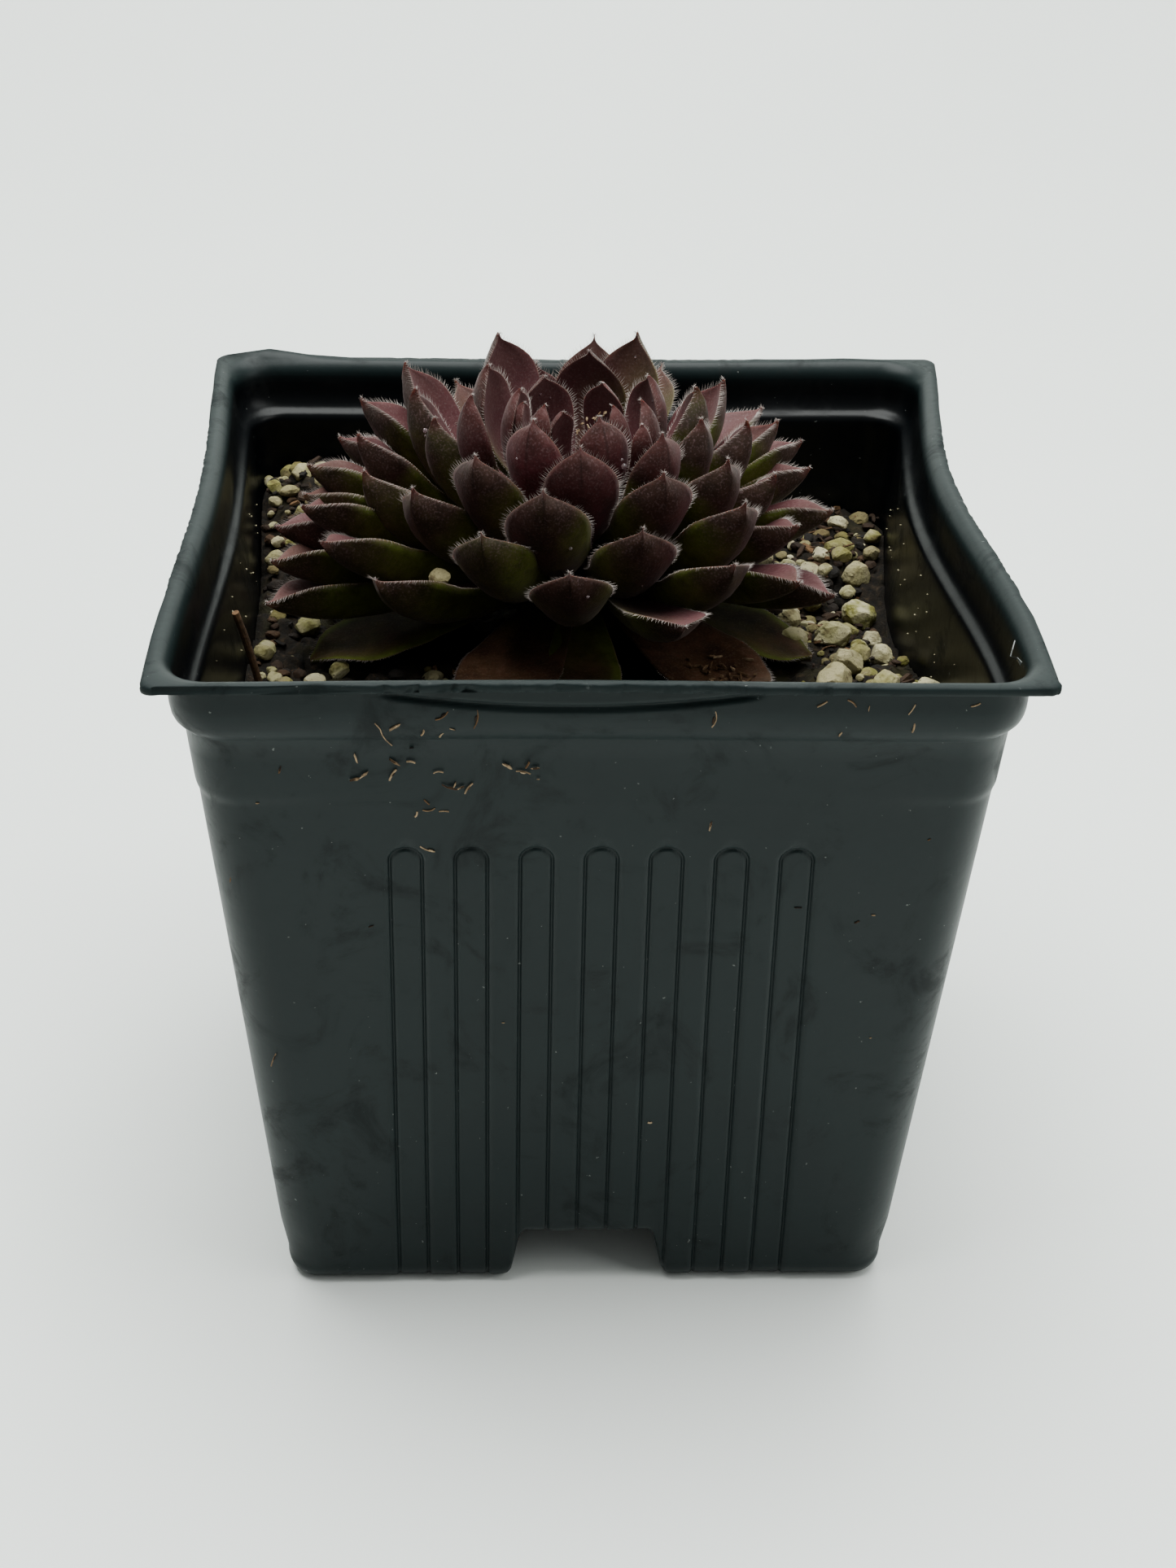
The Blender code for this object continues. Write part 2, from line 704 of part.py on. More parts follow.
def build_rosette(parts, material):
    """The heart's small dome and every living leaf, fused in one solid."""
    rings = []
    foot = RING_TOP + GAP + 0.8
    for share, radius in ((0.0, 6.6), (0.12, 8.2), (0.4, 7.4), (0.65, 5.4), (0.85, 3.4), (1.0, 1.6)):
        z = foot + (ROOT_HEIGHTS[1] + 1.5 - foot) * share
        centre = Vector((*ROOT_CENTRE, 0.0)).lerp(Vector((*HEART_SHIFT, 0.0)), share**2)
        centre.z = z
        ring = []
        for k in range(12):
            angle = math.tau * k / 12
            ring.append(tuple(leaned(centre + Vector((math.cos(angle), math.sin(angle), 0)) * radius)))
        rings.append(ring)
    points, faces = loft(rings)
    rosette = add_object("rosette", points, faces, parts, material)
    leaves = new_collection("rosette leaves", hidden=True)
    grow_leaves(leaves)
    apply_boolean(rosette, leaves, "UNION")
    keep_main_shell(rosette)
    bpy.data.collections.remove(leaves)
    return rosette


def old_leaf(name, out, reach, width, collection):
    """One old leaf, arching down from the ring round the stem to lie just clear of the mix."""
    side = Vector((-out.y, out.x, 0.0))
    centre = Vector((*STEM_PLACE, 0.0))
    rings = []
    inner = RING_INNER + 2.0
    for share, wide, thick in OLD_LEAF_STATIONS:
        middle = centre + out * (inner + (reach - inner) * share)
        half = 0.5 * width * wide
        deep = max(OLD_LEAF_THICKNESS * thick, 0.7)
        ground = max(soil_height(*(middle + side * x).xy) for x in (-half, 0.0, half))
        low = ground + deep + 2 * GAP
        middle.z = low + max(OLD_ROOT_HEIGHT - low, 0.0) * (1.0 - smooth(share * 1.1))
        section = [(-1.0, 0.0), (-0.5, -0.7 * deep), (0.0, -deep), (0.5, -0.7 * deep)]
        section += [(1.0, 0.0), (0.0, 0.15)]
        rings.append([tuple(middle + side * (half * x) + Vector((0, 0, z))) for x, z in section])
    points, faces = loft(rings)
    return add_object(name, points, faces, collection)


def build_old_leaves(parts, material):
    """The ring round the stem, and the old leaves fused to it."""
    rings = []
    for k in range(14):
        angle = math.tau * k / 14
        across = Vector((math.cos(angle), math.sin(angle), 0.0))
        centre = Vector((*STEM_PLACE, 0.0))
        corners = ((RING_INNER, RING_FOOT), (RING_OUTER, RING_FOOT), (RING_OUTER, RING_TOP - 1.0))
        corners += ((RING_OUTER - 1.0, RING_TOP), (RING_INNER, RING_TOP))
        rings.append([tuple(centre + across * radius + Vector((0, 0, z))) for radius, z in corners])
    count = len(rings[0])
    points = [point for ring in rings for point in ring]
    faces = []
    for level in range(len(rings)):
        for step in range(count):
            low = level * count
            high = (level + 1) % len(rings) * count
            after = (step + 1) % count
            faces.append((low + step, low + after, high + after, high + step))
    ring = add_object("old_leaves", points, faces, parts, material)
    leaves = new_collection("old leaf blades", hidden=True)
    for number, (azimuth, reach, width) in enumerate(OLD_LEAVES):
        old_leaf(f"old_leaf_{number}", direction(azimuth), reach, width, leaves)
    apply_boolean(ring, leaves, "UNION")
    keep_main_shell(ring)
    bpy.data.collections.remove(leaves)
    return ring


def main():
    clear_scene()
    parts = new_collection("potted houseleek")
    cutters = new_collection("cutters", hidden=True)
    build_pot(parts, cutters, plain_material("pot plastic", POT_COLOUR, 0.42))
    build_soil(parts, cutters, plain_material("potting mix", SOIL_COLOUR, 0.95))
    build_stem(parts, plain_material("stem bark", STEM_COLOUR, 0.9))
    build_old_leaves(parts, plain_material("old leaf", OLD_LEAF_COLOUR, 0.65))
    build_rosette(parts, plain_material("rosette leaf", ROSETTE_COLOUR, 0.5))


main()
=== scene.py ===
import math
import random

import bmesh
import bpy
from mathutils import Matrix, Vector, noise


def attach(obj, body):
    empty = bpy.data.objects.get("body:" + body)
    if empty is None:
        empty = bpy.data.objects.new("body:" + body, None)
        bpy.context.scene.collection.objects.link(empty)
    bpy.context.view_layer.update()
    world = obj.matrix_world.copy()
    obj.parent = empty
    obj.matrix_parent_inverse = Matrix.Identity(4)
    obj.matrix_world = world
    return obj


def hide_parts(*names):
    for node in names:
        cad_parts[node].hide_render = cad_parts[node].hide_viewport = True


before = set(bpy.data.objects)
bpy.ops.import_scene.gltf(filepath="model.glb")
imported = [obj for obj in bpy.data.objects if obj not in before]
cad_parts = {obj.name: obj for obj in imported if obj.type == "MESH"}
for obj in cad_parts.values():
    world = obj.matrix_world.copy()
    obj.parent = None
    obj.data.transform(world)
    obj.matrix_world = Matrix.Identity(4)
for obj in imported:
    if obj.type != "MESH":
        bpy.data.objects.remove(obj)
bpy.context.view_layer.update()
mm = 0.001
print("frame loaded")


# small helpers shared by every piece; all shapes are drawn in millimetres

def ease(share):
    share = min(max(share, 0.0), 1.0)
    return share * share * (3.0 - 2.0 * share)


def between(table, value):
    # straight lines through (value, result) pairs
    if value <= table[0][0]:
        return table[0][1]
    for (lowAt, low), (highAt, high) in zip(table, table[1:]):
        if value <= highAt:
            return low + (high - low) * (value - lowAt) / (highAt - lowAt)
    return table[-1][1]


def direction(azimuth):
    turn = math.radians(azimuth)
    return Vector((math.cos(turn), math.sin(turn), 0.0))


def sideOf(out):
    return Vector((-out.y, out.x, 0.0))


def quarterTurn(quarter):
    return Matrix.Rotation(math.radians(90 * quarter), 3, "Z")


def linkObject(name, data):
    holder = bpy.data.objects.new(name, data)
    bpy.context.scene.collection.objects.link(holder)
    return holder


def makePiece(name, points, faces, material, smooth=True, replacing=None):
    mesh = bpy.data.meshes.new(name)
    mesh.from_pydata([Vector(point) * mm for point in points], [], faces)
    mesh.validate()
    piece = linkObject(name, mesh)
    mesh.materials.append(material)
    for polygon in mesh.polygons:
        polygon.use_smooth = smooth
    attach(piece, "root")
    if replacing:
        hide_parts(replacing)
    return piece


def faceOutwards(piece):
    work = bmesh.new()
    work.from_mesh(piece.data)
    bmesh.ops.recalc_face_normals(work, faces=work.faces)
    work.to_mesh(piece.data)
    work.free()


class MeshPile:
    # gathers many small shapes into one mesh
    def __init__(self):
        self.points = []
        self.faces = []
        self.tones = []
        self.uppers = []

    def add(self, points, faces, tones=None):
        start = len(self.points)
        self.points += points
        self.faces += [tuple(start + k for k in face) for face in faces]
        self.tones += tones or [(0.0, 0.0, 0.0)] * len(points)

    def build(self, name, material, smooth=True, replacing=None):
        piece = makePiece(name, self.points, self.faces, material, smooth, replacing)
        layer = piece.data.color_attributes.new("tone", "FLOAT_COLOR", "POINT")
        for place, tone in zip(layer.data, self.tones):
            place.color = (*tone, 1.0)
        if self.uppers:
            layer = piece.data.attributes.new("upper", "FLOAT", "POINT")
            for place, upper in zip(layer.data, self.uppers):
                place.value = upper
        return piece


def ringFaces(levels, count):
    faces = []
    for low in range(0, (levels - 1) * count, count):
        for step in range(count):
            after = (step + 1) % count
            faces.append((low + step, low + after, low + count + after, low + count + step))
    return faces


def loftRings(rings, capEnds=True):
    count = len(rings[0])
    faces = ringFaces(len(rings), count)
    if capEnds:
        faces.append(tuple(reversed(range(count))))
        faces.append(tuple((len(rings) - 1) * count + step for step in range(count)))
    return [point for ring in rings for point in ring], faces


# finishes

class Finish:
    # a material written as a recipe: each method adds a node and gives its output
    def __init__(self, name, colour, roughness, constants=None):
        self.material = bpy.data.materials.new(name)
        self.material.use_nodes = True
        self.tree = self.material.node_tree
        self.shader = self.tree.nodes["Principled BSDF"].inputs
        self.shader["Base Color"].default_value = (*colour, 1.0)
        self.shader["Roughness"].default_value = roughness
        for socket, value in (constants or {}).items():
            self.shader[socket].default_value = value
        self.place = self.node("ShaderNodeTexCoord").outputs["Object"]

    def node(self, kind, **settings):
        node = self.tree.nodes.new(kind)
        for key, value in settings.items():
            setattr(node, key, value)
        return node

    def feed(self, node, values):
        # links a node's output, or sets a number or a colour
        for socket, value in values.items():
            if isinstance(value, bpy.types.NodeSocket):
                self.tree.links.new(value, node.inputs[socket])
            elif isinstance(value, tuple):
                node.inputs[socket].default_value = (*value, 1.0)
            else:
                node.inputs[socket].default_value = value
        return node

    def noise(self, scale, detail=4.0, roughness=0.55, distortion=0.0):
        values = {"Vector": self.place, "Scale": scale, "Detail": detail}
        values |= {"Roughness": roughness, "Distortion": distortion}
        return self.feed(self.node("ShaderNodeTexNoise"), values).outputs["Fac"]

    def tone(self):
        node = self.node("ShaderNodeAttribute", attribute_name="tone")
        parts = self.feed(self.node("ShaderNodeSeparateColor"), {"Color": node.outputs["Color"]})
        return parts.outputs["Red"], parts.outputs["Green"], parts.outputs["Blue"]

    def ramp(self, source, *stops):
        node = self.feed(self.node("ShaderNodeValToRGB"), {"Fac": source})
        elements = node.color_ramp.elements
        while len(elements) < len(stops):
            elements.new(0.5)
        for element, (place, colour) in zip(elements, stops):
            element.position = place
            element.color = (*colour, 1.0)
        return node.outputs["Color"]

    def mix(self, share, first, second, blend="MIX"):
        node = self.node("ShaderNodeMix", data_type="RGBA", blend_type=blend)
        return self.feed(node, {0: share, 6: first, 7: second}).outputs[2]

    def coats(self, tint, *layers):
        # each layer is a share and a colour, laid over what is there
        for share, colour in layers:
            tint = self.mix(share, tint, colour)
        return tint

    def math(self, operation, first, second):
        return self.feed(self.node("ShaderNodeMath", operation=operation), {0: first, 1: second}).outputs[0]

    def times(self, first, second):
        return self.math("MULTIPLY", first, second)

    def total(self, start, *parts):
        # a number and some shares of other outputs
        for source, share in parts:
            start = self.math("ADD", self.times(source, share), start)
        return start

    def spread(self, source, low, high):
        # a grey value stretched from low..high to 0..1
        node = self.node("ShaderNodeMapRange", clamp=True)
        return self.feed(node, {"Value": source, "From Min": low, "From Max": high}).outputs["Result"]

    def bump(self, height, strength, distance, normal=None):
        values = {"Height": height, "Strength": strength, "Distance": distance}
        if normal:
            values["Normal"] = normal
        return self.feed(self.node("ShaderNodeBump"), values).outputs["Normal"]

    def done(self, tint, roughness=None, normal=None):
        for socket, source in (("Base Color", tint), ("Roughness", roughness), ("Normal", normal)):
            if source:
                self.tree.links.new(source, self.shader[socket])
        return self.material


potLook = {
    "tints": ((0.0028, 0.0072, 0.0076), (0.0048, 0.0104, 0.0106)),
    "smudge": (0.0012, 0.0036, 0.0038),
    "scuff": (0.0010, 0.0036, 0.0036),
    # darker colour deep inside the pot: painted shade of the interior
    "inside": (0.0007, 0.0011, 0.0016),
    "wear": (0.06, 0.068, 0.066),
    "speck": (0.16, 0.17, 0.16),
    "roughness": 0.36,
    "shine": 0.17,
}


def potPlastic():
    # tone: how far inside the pot (the colour is painted darker there as painted shade), nothing, wear along
    # the cut rim
    made = Finish("potPlastic", (0.0035, 0.008, 0.008), 0.4, {"Specular IOR Level": potLook["shine"]})
    inside, _, wear = made.tone()
    cloud = made.noise(55.0, 5.0, 0.6)
    smudge = made.spread(made.noise(95.0, 9.0, 0.74, 0.9), 0.53, 0.65)
    scuff = made.spread(made.noise(240.0, 8.0, 0.8, 1.4), 0.60, 0.68)
    speck = made.spread(made.noise(1700.0, 2.0, 0.5), 0.755, 0.775)
    pale, deep = potLook["tints"]
    tint = made.coats(made.ramp(cloud, (0.3, pale), (0.7, deep)),
                      (made.times(smudge, 0.8), potLook["smudge"]),
                      (made.times(scuff, 0.5), potLook["scuff"]),
                      # the inner walls painted darker: painted shade
                      (inside, potLook["inside"]), (made.times(wear, scuff), potLook["wear"]),
                      (made.times(speck, 0.6), potLook["speck"]))
    rough = made.total(potLook["roughness"], (cloud, 0.10), (smudge, 0.2), (wear, 0.22), (inside, -0.08))
    fine = made.bump(made.noise(900.0, 3.0), 0.10, 0.0001)
    return made.done(tint, rough, made.bump(cloud, 0.14, 0.0012, fine))


def clearFilm():
    made = Finish("clearFilm", (0.12, 0.13, 0.13), 0.2)
    cloud = made.noise(700.0, 3.0)
    return made.done(made.ramp(cloud, (0.3, (0.01, 0.012, 0.012)), (0.7, (0.07, 0.076, 0.072))))


mixColours = {
    "soil": ((0.34, (0.002, 0.0015, 0.001)), (0.56, (0.010, 0.0065, 0.0035)),
             (0.74, (0.050, 0.032, 0.017))),
    "soilMoss": (0.022, 0.020, 0.006),
    "pumice": ((0.0, (0.10, 0.075, 0.030)), (0.5, (0.25, 0.215, 0.11)),
               (1.0, (0.44, 0.395, 0.255))),
    "algae": (0.155, 0.155, 0.025),
    "stain": (0.07, 0.045, 0.018),
    "pores": (0.06, 0.042, 0.022),
    "bark": ((0.0, (0.003, 0.0022, 0.0016)), (0.55, (0.030, 0.015, 0.007)), (0.8, (0.12, 0.062, 0.026)),
             (1.0, (0.46, 0.33, 0.20))),
}


def soilDark():
    made = Finish("soilDark", (0.02, 0.014, 0.009), 0.92, {"Specular IOR Level": 0.2})
    grain = made.noise(900.0, 6.0, 0.7)
    moss = made.spread(made.noise(160.0, 4.0), 0.52, 0.74)
    tint = made.mix(moss, made.ramp(grain, *mixColours["soil"]), mixColours["soilMoss"])
    return made.done(tint, None, made.bump(grain, 0.9, 0.0006))


def pumiceStone():
    # tone: how pale the grain is, how green with algae
    made = Finish("pumiceStone", (0.5, 0.45, 0.32), 0.9, {"Specular IOR Level": 0.25})
    shade, algae, _ = made.tone()
    pores = made.noise(2300.0, 5.0, 0.7)
    stain = made.noise(520.0, 4.0)
    tint = made.coats(made.ramp(shade, *mixColours["pumice"]),
                      (made.times(algae, made.spread(stain, 0.36, 0.6)), mixColours["algae"]),
                      (made.times(made.spread(stain, 0.53, 0.68), 0.75), mixColours["stain"]),
                      (made.spread(pores, 0.58, 0.68), mixColours["pores"]))
    return made.done(tint, None, made.bump(pores, 0.8, 0.0003))


def barkBrown():
    # tone: from near black through red brown to straw
    made = Finish("barkBrown", (0.05, 0.03, 0.015), 0.85, {"Specular IOR Level": 0.25})
    shade, _, _ = made.tone()
    fibre = made.ramp(made.noise(1800.0, 4.0), (0.3, (0.45, 0.45, 0.45)), (0.6, (1.0, 1.0, 1.0)))
    tint = made.mix(1.0, made.ramp(shade, *mixColours["bark"]), fibre, "MULTIPLY")
    return made.done(tint, None, made.bump(made.noise(2400.0, 4.0), 0.7, 0.0002))


leafLook = {
    # colours of the undersides, in their darker and lighter mottles
    "dark": ((0.0080, 0.0013, 0.0014), (0.026, 0.0046, 0.0050)),
    "crimson": ((0.030, 0.0026, 0.0060), (0.092, 0.0095, 0.022)),
    "warm": ((0.020, 0.0158, 0.0085), (0.055, 0.044, 0.026)),
    "green": ((0.026, 0.0325, 0.0020), (0.078, 0.096, 0.0110)),
    # pale veil towards the tips: the fine hairs' own paleness with painted sheen
    "hairSheenVeil": (0.17, 0.108, 0.112),
    # upper faces, paler partly by their own colour and partly as painted light from above: red ones, green
    # ones, mottles, towards the tip, specks of dust and painted sheen
    "upper": ((0.064, 0.016, 0.021), (0.046, 0.041, 0.011), (0.108, 0.048, 0.048),
              (0.155, 0.078, 0.076), (0.24, 0.19, 0.18)),
    "keel": (0.008, 0.003, 0.003),
    "margin": (0.12, 0.075, 0.06),
    "point": (0.085, 0.026, 0.024),
    "withered": ((0.35, (0.018, 0.011, 0.0042)), (0.52, (0.050, 0.027, 0.0105)),
                 (0.68, (0.095, 0.045, 0.024))),
    "witheredDust": (0.20, 0.15, 0.10),
    "faded": (0.15, 0.108, 0.078),
    "velvet": {"Sheen Weight": 0.09, "Sheen Roughness": 0.4, "Sheen Tint": (0.85, 0.68, 0.68, 1.0),
               "Subsurface Weight": 0.05, "Subsurface Radius": (1.0, 0.4, 0.25), "Subsurface Scale": 0.0009},
}


def leafSkin(name="leafSkin", aged=0.0):
    # tone: closeness to the tip, greenness, place across the leaf; upper faces are paler, partly by their own
    # colour and partly as painted light from above and painted sheen
    constants = leafLook["velvet"] | {"Specular IOR Level": 0.15 - 0.13 * aged}
    made = Finish(name, (0.03, 0.015, 0.012), 0.5, constants)
    tip, greenness, across = made.tone()
    upper = made.node("ShaderNodeAttribute", attribute_name="upper").outputs["Fac"]
    mottle = made.noise(420.0, 6.0, 0.68)
    # fine pale specks: partly dust and the fine hairs, partly painted sheen
    dustAndSheenSpecks = made.spread(made.noise(4200.0, 2.0, 0.5), 0.52, 0.72)
    under = [leafLook[key] for key in ("dark", "crimson", "warm", "green")]
    dark, crimson, warm, green = [made.ramp(mottle, (0.3, low), (0.7, high)) for low, high in under]
    skin = made.mix(made.spread(greenness, 0.45, 0.05), dark, crimson)
    flank = made.math("ADD", greenness, made.times(made.noise(150.0, 3.0), 0.55))
    # pale veil over the undersides towards the tip: painted sheen of the fine hairs
    hairSheenVeil = made.times(dustAndSheenSpecks, made.spread(tip, 0.05, 0.9))
    skin = made.coats(skin, (made.spread(tip, 0.2, 0.8), made.mix(0.55, warm, skin)),
                      (made.spread(flank, 0.74, 1.16), green), (made.times(hairSheenVeil, 0.42), leafLook["hairSheenVeil"]))
    # the upper faces' paler colours: partly their own, partly painted light from above and painted sheen
    red, olive, mottled, tipped, specksAndSheen = leafLook["upper"]
    pale = made.coats(made.mix(made.spread(greenness, 0.4, 0.95), red, olive),
                      (made.times(made.spread(mottle, 0.35, 0.7), 0.55), mottled),
                      (made.times(made.spread(tip, 0.1, 0.9), 0.4), tipped), (made.times(dustAndSheenSpecks, 0.16), specksAndSheen))
    keel = made.times(made.spread(across, 0.09, 0.0), made.spread(tip, 0.25, 0.75))
    keel = made.times(keel, made.math("SUBTRACT", 1.0, upper))
    skin = made.coats(skin, (made.times(upper, 0.8), pale), (made.times(keel, 0.5), leafLook["keel"]),
                      (made.times(made.spread(across, 0.95, 1.0), 0.5), leafLook["margin"]),
                      (made.times(made.spread(tip, 0.86, 0.99), 0.6), leafLook["point"]))
    if aged:
        brown = made.coats(made.ramp(made.noise(230.0, 6.0, 0.7), *leafLook["withered"]),
                           (made.times(dustAndSheenSpecks, 0.22), leafLook["witheredDust"]),
                           (made.times(made.spread(tip, 0.25, 0.8), 0.6), leafLook["faded"]))
        skin = made.mix(made.times(made.spread(greenness, 0.95, 0.3), aged), skin, brown)
    gloss = made.total(0.34 + 0.3 * aged, (mottle, 0.25))
    velvet = made.bump(made.noise(3000.0, 2.0), 0.32, 0.00012)
    return made.done(skin, gloss, made.bump(mottle, 0.25, 0.0004, velvet))


def hairWhite():
    made = Finish("hairWhite", (0.36, 0.30, 0.28), 0.5)
    cloud = made.noise(300.0, 3.0)
    return made.done(made.ramp(cloud, (0.35, (0.25, 0.20, 0.185)), (0.65, (0.46, 0.40, 0.37))))


def waterDrop():
    # the pink tint of the clear water is painted reflection of the pink leaves seen through the drops
    made = Finish("waterDrop", (0.95, 0.80, 0.82), 0.04, {"IOR": 1.33, "Transmission Weight": 0.9})
    cloud = made.noise(500.0, 2.0)
    return made.done(made.ramp(cloud, (0.3, (0.95, 0.70, 0.76)), (0.7, (0.98, 0.92, 0.92))))


# the pot: one skin, drawn as rings from the foot up, over the rim and down inside

potShape = {
    "rimHalf": 44.5,
    "height": 81.6,
    "wall": 1.0,
    "baseHalf": 33.9,
    "baseEdge": 2.6,
    "corner": 5.0,
    "shoulder": (41.2, 73.9),      # half width and height where the collar starts
    "step": (66.4, 0.2),           # height of the small step near the corners, how proud it stands
    "stepShape": ((-0.3, 0.06), (0.0, 0.25), (0.4, 0.65), (0.8, 0.92), (1.3, 1.0), (3.0, 1.0),
                  (5.0, 1.0)),
    "collar": (42.5, 5.0),         # half width, corner radius
    "collarShape": ((0.0, 0.0), (0.16, 0.25), (0.42, 0.7), (0.68, 1.25), (0.86, 1.95), (0.96, 2.8),
                    (1.0, 3.5), (1.0, 3.8), (1.0, 4.05), (0.99, 4.3), (0.985, 4.5), (0.98, 4.7),
                    (0.97, 4.9), (0.965, 5.1), (0.96, 5.3), (0.955, 5.5), (0.95, 5.75), (0.95, 6.0),
                    (0.95, 6.3)),
    # the flange outside, then inside with the ledge: half width, corner radius, depth below the top
    "flange": ((42.5, 4.8, 1.13), (42.9, 4.3, 1.03), (43.5, 3.4, 1.0), (44.25, 1.6, 1.0), (44.45, 1.3, 0.9),
               (44.5, 1.3, 0.6), (44.48, 1.3, 0.22), (44.34, 1.3, 0.04), (44.05, 1.6, 0.0)),
    "ledge": ((43.5, 4.2, 0.0), (43.2, 4.6, 0.05), (42.9, 4.9, 0.2), (42.6, 5.0, 0.5), (42.32, 5.0, 0.85),
              (42.12, 5.0, 1.3), (42.02, 5.0, 1.9), (41.92, 5.0, 2.7), (41.82, 5.0, 3.6), (41.7, 5.0, 4.3),
              (41.52, 5.0, 4.9), (41.3, 4.9, 5.35), (41.02, 4.9, 5.64), (40.72, 4.8, 5.83),
              (40.45, 4.7, 6.02), (40.26, 4.6, 6.3), (40.15, 4.5, 6.8), (40.1, 4.3, 7.6)),
    "flutes": (7, 6.63, 3.4, 0.5, 60.6),      # count, pitch, width, depth, top
    "fluteShift": 0.45,
    "channel": ((6.5, 7.2), (7.0, 7.1), (7.34, 6.8), (7.56, 6.3), (8.5, 1.0), (8.9, 0.28),
                (9.5, 0.0)),
    "channelBlend": 18.0,
    "lastColumn": 23.2,
    # under the front flange: middle, reach, height, bow, depth
    "crease": (-3.0, 19.5, 79.8, 1.8, 0.42),
    # how far each side bows in at the rim, where along it, and over which reach
    "dents": {"right": (3.1, 8.0, 42.0), "left": (1.3, 5.0, 42.0),
              "front": (0.6, -6.0, 40.0), "back": (0.6, 0.0, 38.0)},
    "dentFrom": 6.0,
    "dentFull": 66.0,
    "dentEdge": (22.0, 13.0),      # from here out to the walls a place moves with its side, over this reach
    "stepFade": (25.0, 10.0),      # the step stands proud from here on along a side, over this reach
    "cornerSteps": 10,
    "roughEdge": 0.16,
    # nubs of the torn lip at the back: across, back, reach, rise
    "lipNubs": ((-38.0, 44.0, 7.0, 1.1), (26.0, 44.5, 2.2, 0.55), (35.0, 44.5, 3.4, 0.45)),
    "rimFrom": 78.0,
}


def wallHalf(z):
    top = potShape["shoulder"][0] - potShape["step"][1]
    return potShape["baseHalf"] + (top - potShape["baseHalf"]) * z / potShape["shoulder"][1]


def dentAt(side, along):
    depth, centre, reach = potShape["dents"][side]
    share = min(abs(along - centre) / reach, 1.0)
    return depth * math.cos(0.5 * math.pi * share) ** 2


def dentsBeside(x, y):
    return dentAt("right" if x > 0 else "left", y), dentAt("back" if y > 0 else "front", x)


def dented(point):
    x, y, z = point
    share = ease((z - potShape["dentFrom"]) / (potShape["dentFull"] - potShape["dentFrom"]))
    inX, inY = dentsBeside(x, y)
    start, reach = potShape["dentEdge"]
    shiftX = math.copysign(inX, x) * share * ease((abs(x) - start) / reach)
    shiftY = math.copysign(inY, y) * share * ease((abs(y) - start) / reach)
    return Vector((x - shiftX, y - shiftY, z))


def channelRoof(x, y=None, grow=0.0):
    # height of the drain channels over the ground
    places = [x] if y is None else [x, y]
    return max(between(potShape["channel"], max(abs(place) - grow, 0.0)) for place in places)


def sideColumns():
    # fixed places along a side, close together at the flute edges and the channel's sides
    count, pitch = potShape["flutes"][:2]
    places = {0.0: True}
    for number in range(count):
        centre = (number - 0.5 * (count - 1)) * pitch + potShape["fluteShift"]
        for offset in (0.0, 0.4, 0.8, 1.1, 1.32, 1.46, 1.56, 1.64, 1.72, 1.82, 2.0, 2.5):
            places[centre + offset] = False
            places[centre - offset] = False
        places[centre + 0.5 * pitch] = False
    for place in [place for place, _ in potShape["channel"]] + [14.0, 18.0, potShape["lastColumn"]]:
        places[place] = True
        places[-place] = True
    chosen = []
    for place in sorted(places):
        if chosen and place - chosen[-1][0] < 0.05:
            if places[place]:
                chosen[-1] = (place, True)
        elif abs(place) <= potShape["lastColumn"]:
            chosen.append((place, places[place]))
    return chosen


def sidePlaces(columns, reach):
    # the columns, and four more places on each side, out to the corner
    last = columns[-1][0]
    ends = [(last + (reach - last) * share, share == 1.0) for share in (0.25, 0.5, 0.75, 1.0)]
    return [(-end, coarse) for end, coarse in reversed(ends)] + columns + ends


def squareRing(places, half, corner, reach, z):
    # front side first, then its corner, and so on anticlockwise
    ring = []
    for quarter in range(4):
        turn = quarterTurn(quarter)
        for x in places:
            ring.append((turn @ Vector((x, -half, z)), quarter, x))
        for k in range(1, potShape["cornerSteps"]):
            angle = math.radians(90.0 * k / potShape["cornerSteps"] - 90.0)
            point = Vector((reach + corner * math.cos(angle), -reach + corner * math.sin(angle), z))
            ring.append((turn @ point, quarter, None))
    return ring


def outerRows():
    # half width, corner radius and height of each ring
    rows = []
    edge = potShape["baseEdge"]
    corner = potShape["corner"]
    for k in range(9):
        turn = math.radians(90.0 * k / 8)
        inset = edge * (1 - math.sin(turn))
        rows.append((potShape["baseHalf"] - inset, corner - 3 * math.cos(turn), edge * (1 - math.cos(turn))))
    heights = [7, 10, 14, 20, 26, 32, 38, 44, 50, 54, 57]
    heights += [potShape["flutes"][4] - 2.2 + 0.15 * k for k in range(17)]
    heights += [62.0, 63.6, 65.0, 65.8]
    rows += [(wallHalf(z), corner, z) for z in heights]
    stepZ, proud = potShape["step"]
    for rise, share in potShape["stepShape"]:
        rows.append((wallHalf(stepZ + rise) + proud * share, corner, stepZ + rise))
    shoulderHalf, shoulderZ = potShape["shoulder"]
    collarHalf, collarCorner = potShape["collar"]
    for share, rise in potShape["collarShape"]:
        half = shoulderHalf + (collarHalf - shoulderHalf) * share
        rows.append((half, corner + (collarCorner - corner) * share, shoulderZ + rise))
    return rows + [(half, corner, potShape["height"] - below) for half, corner, below in potShape["flange"]]


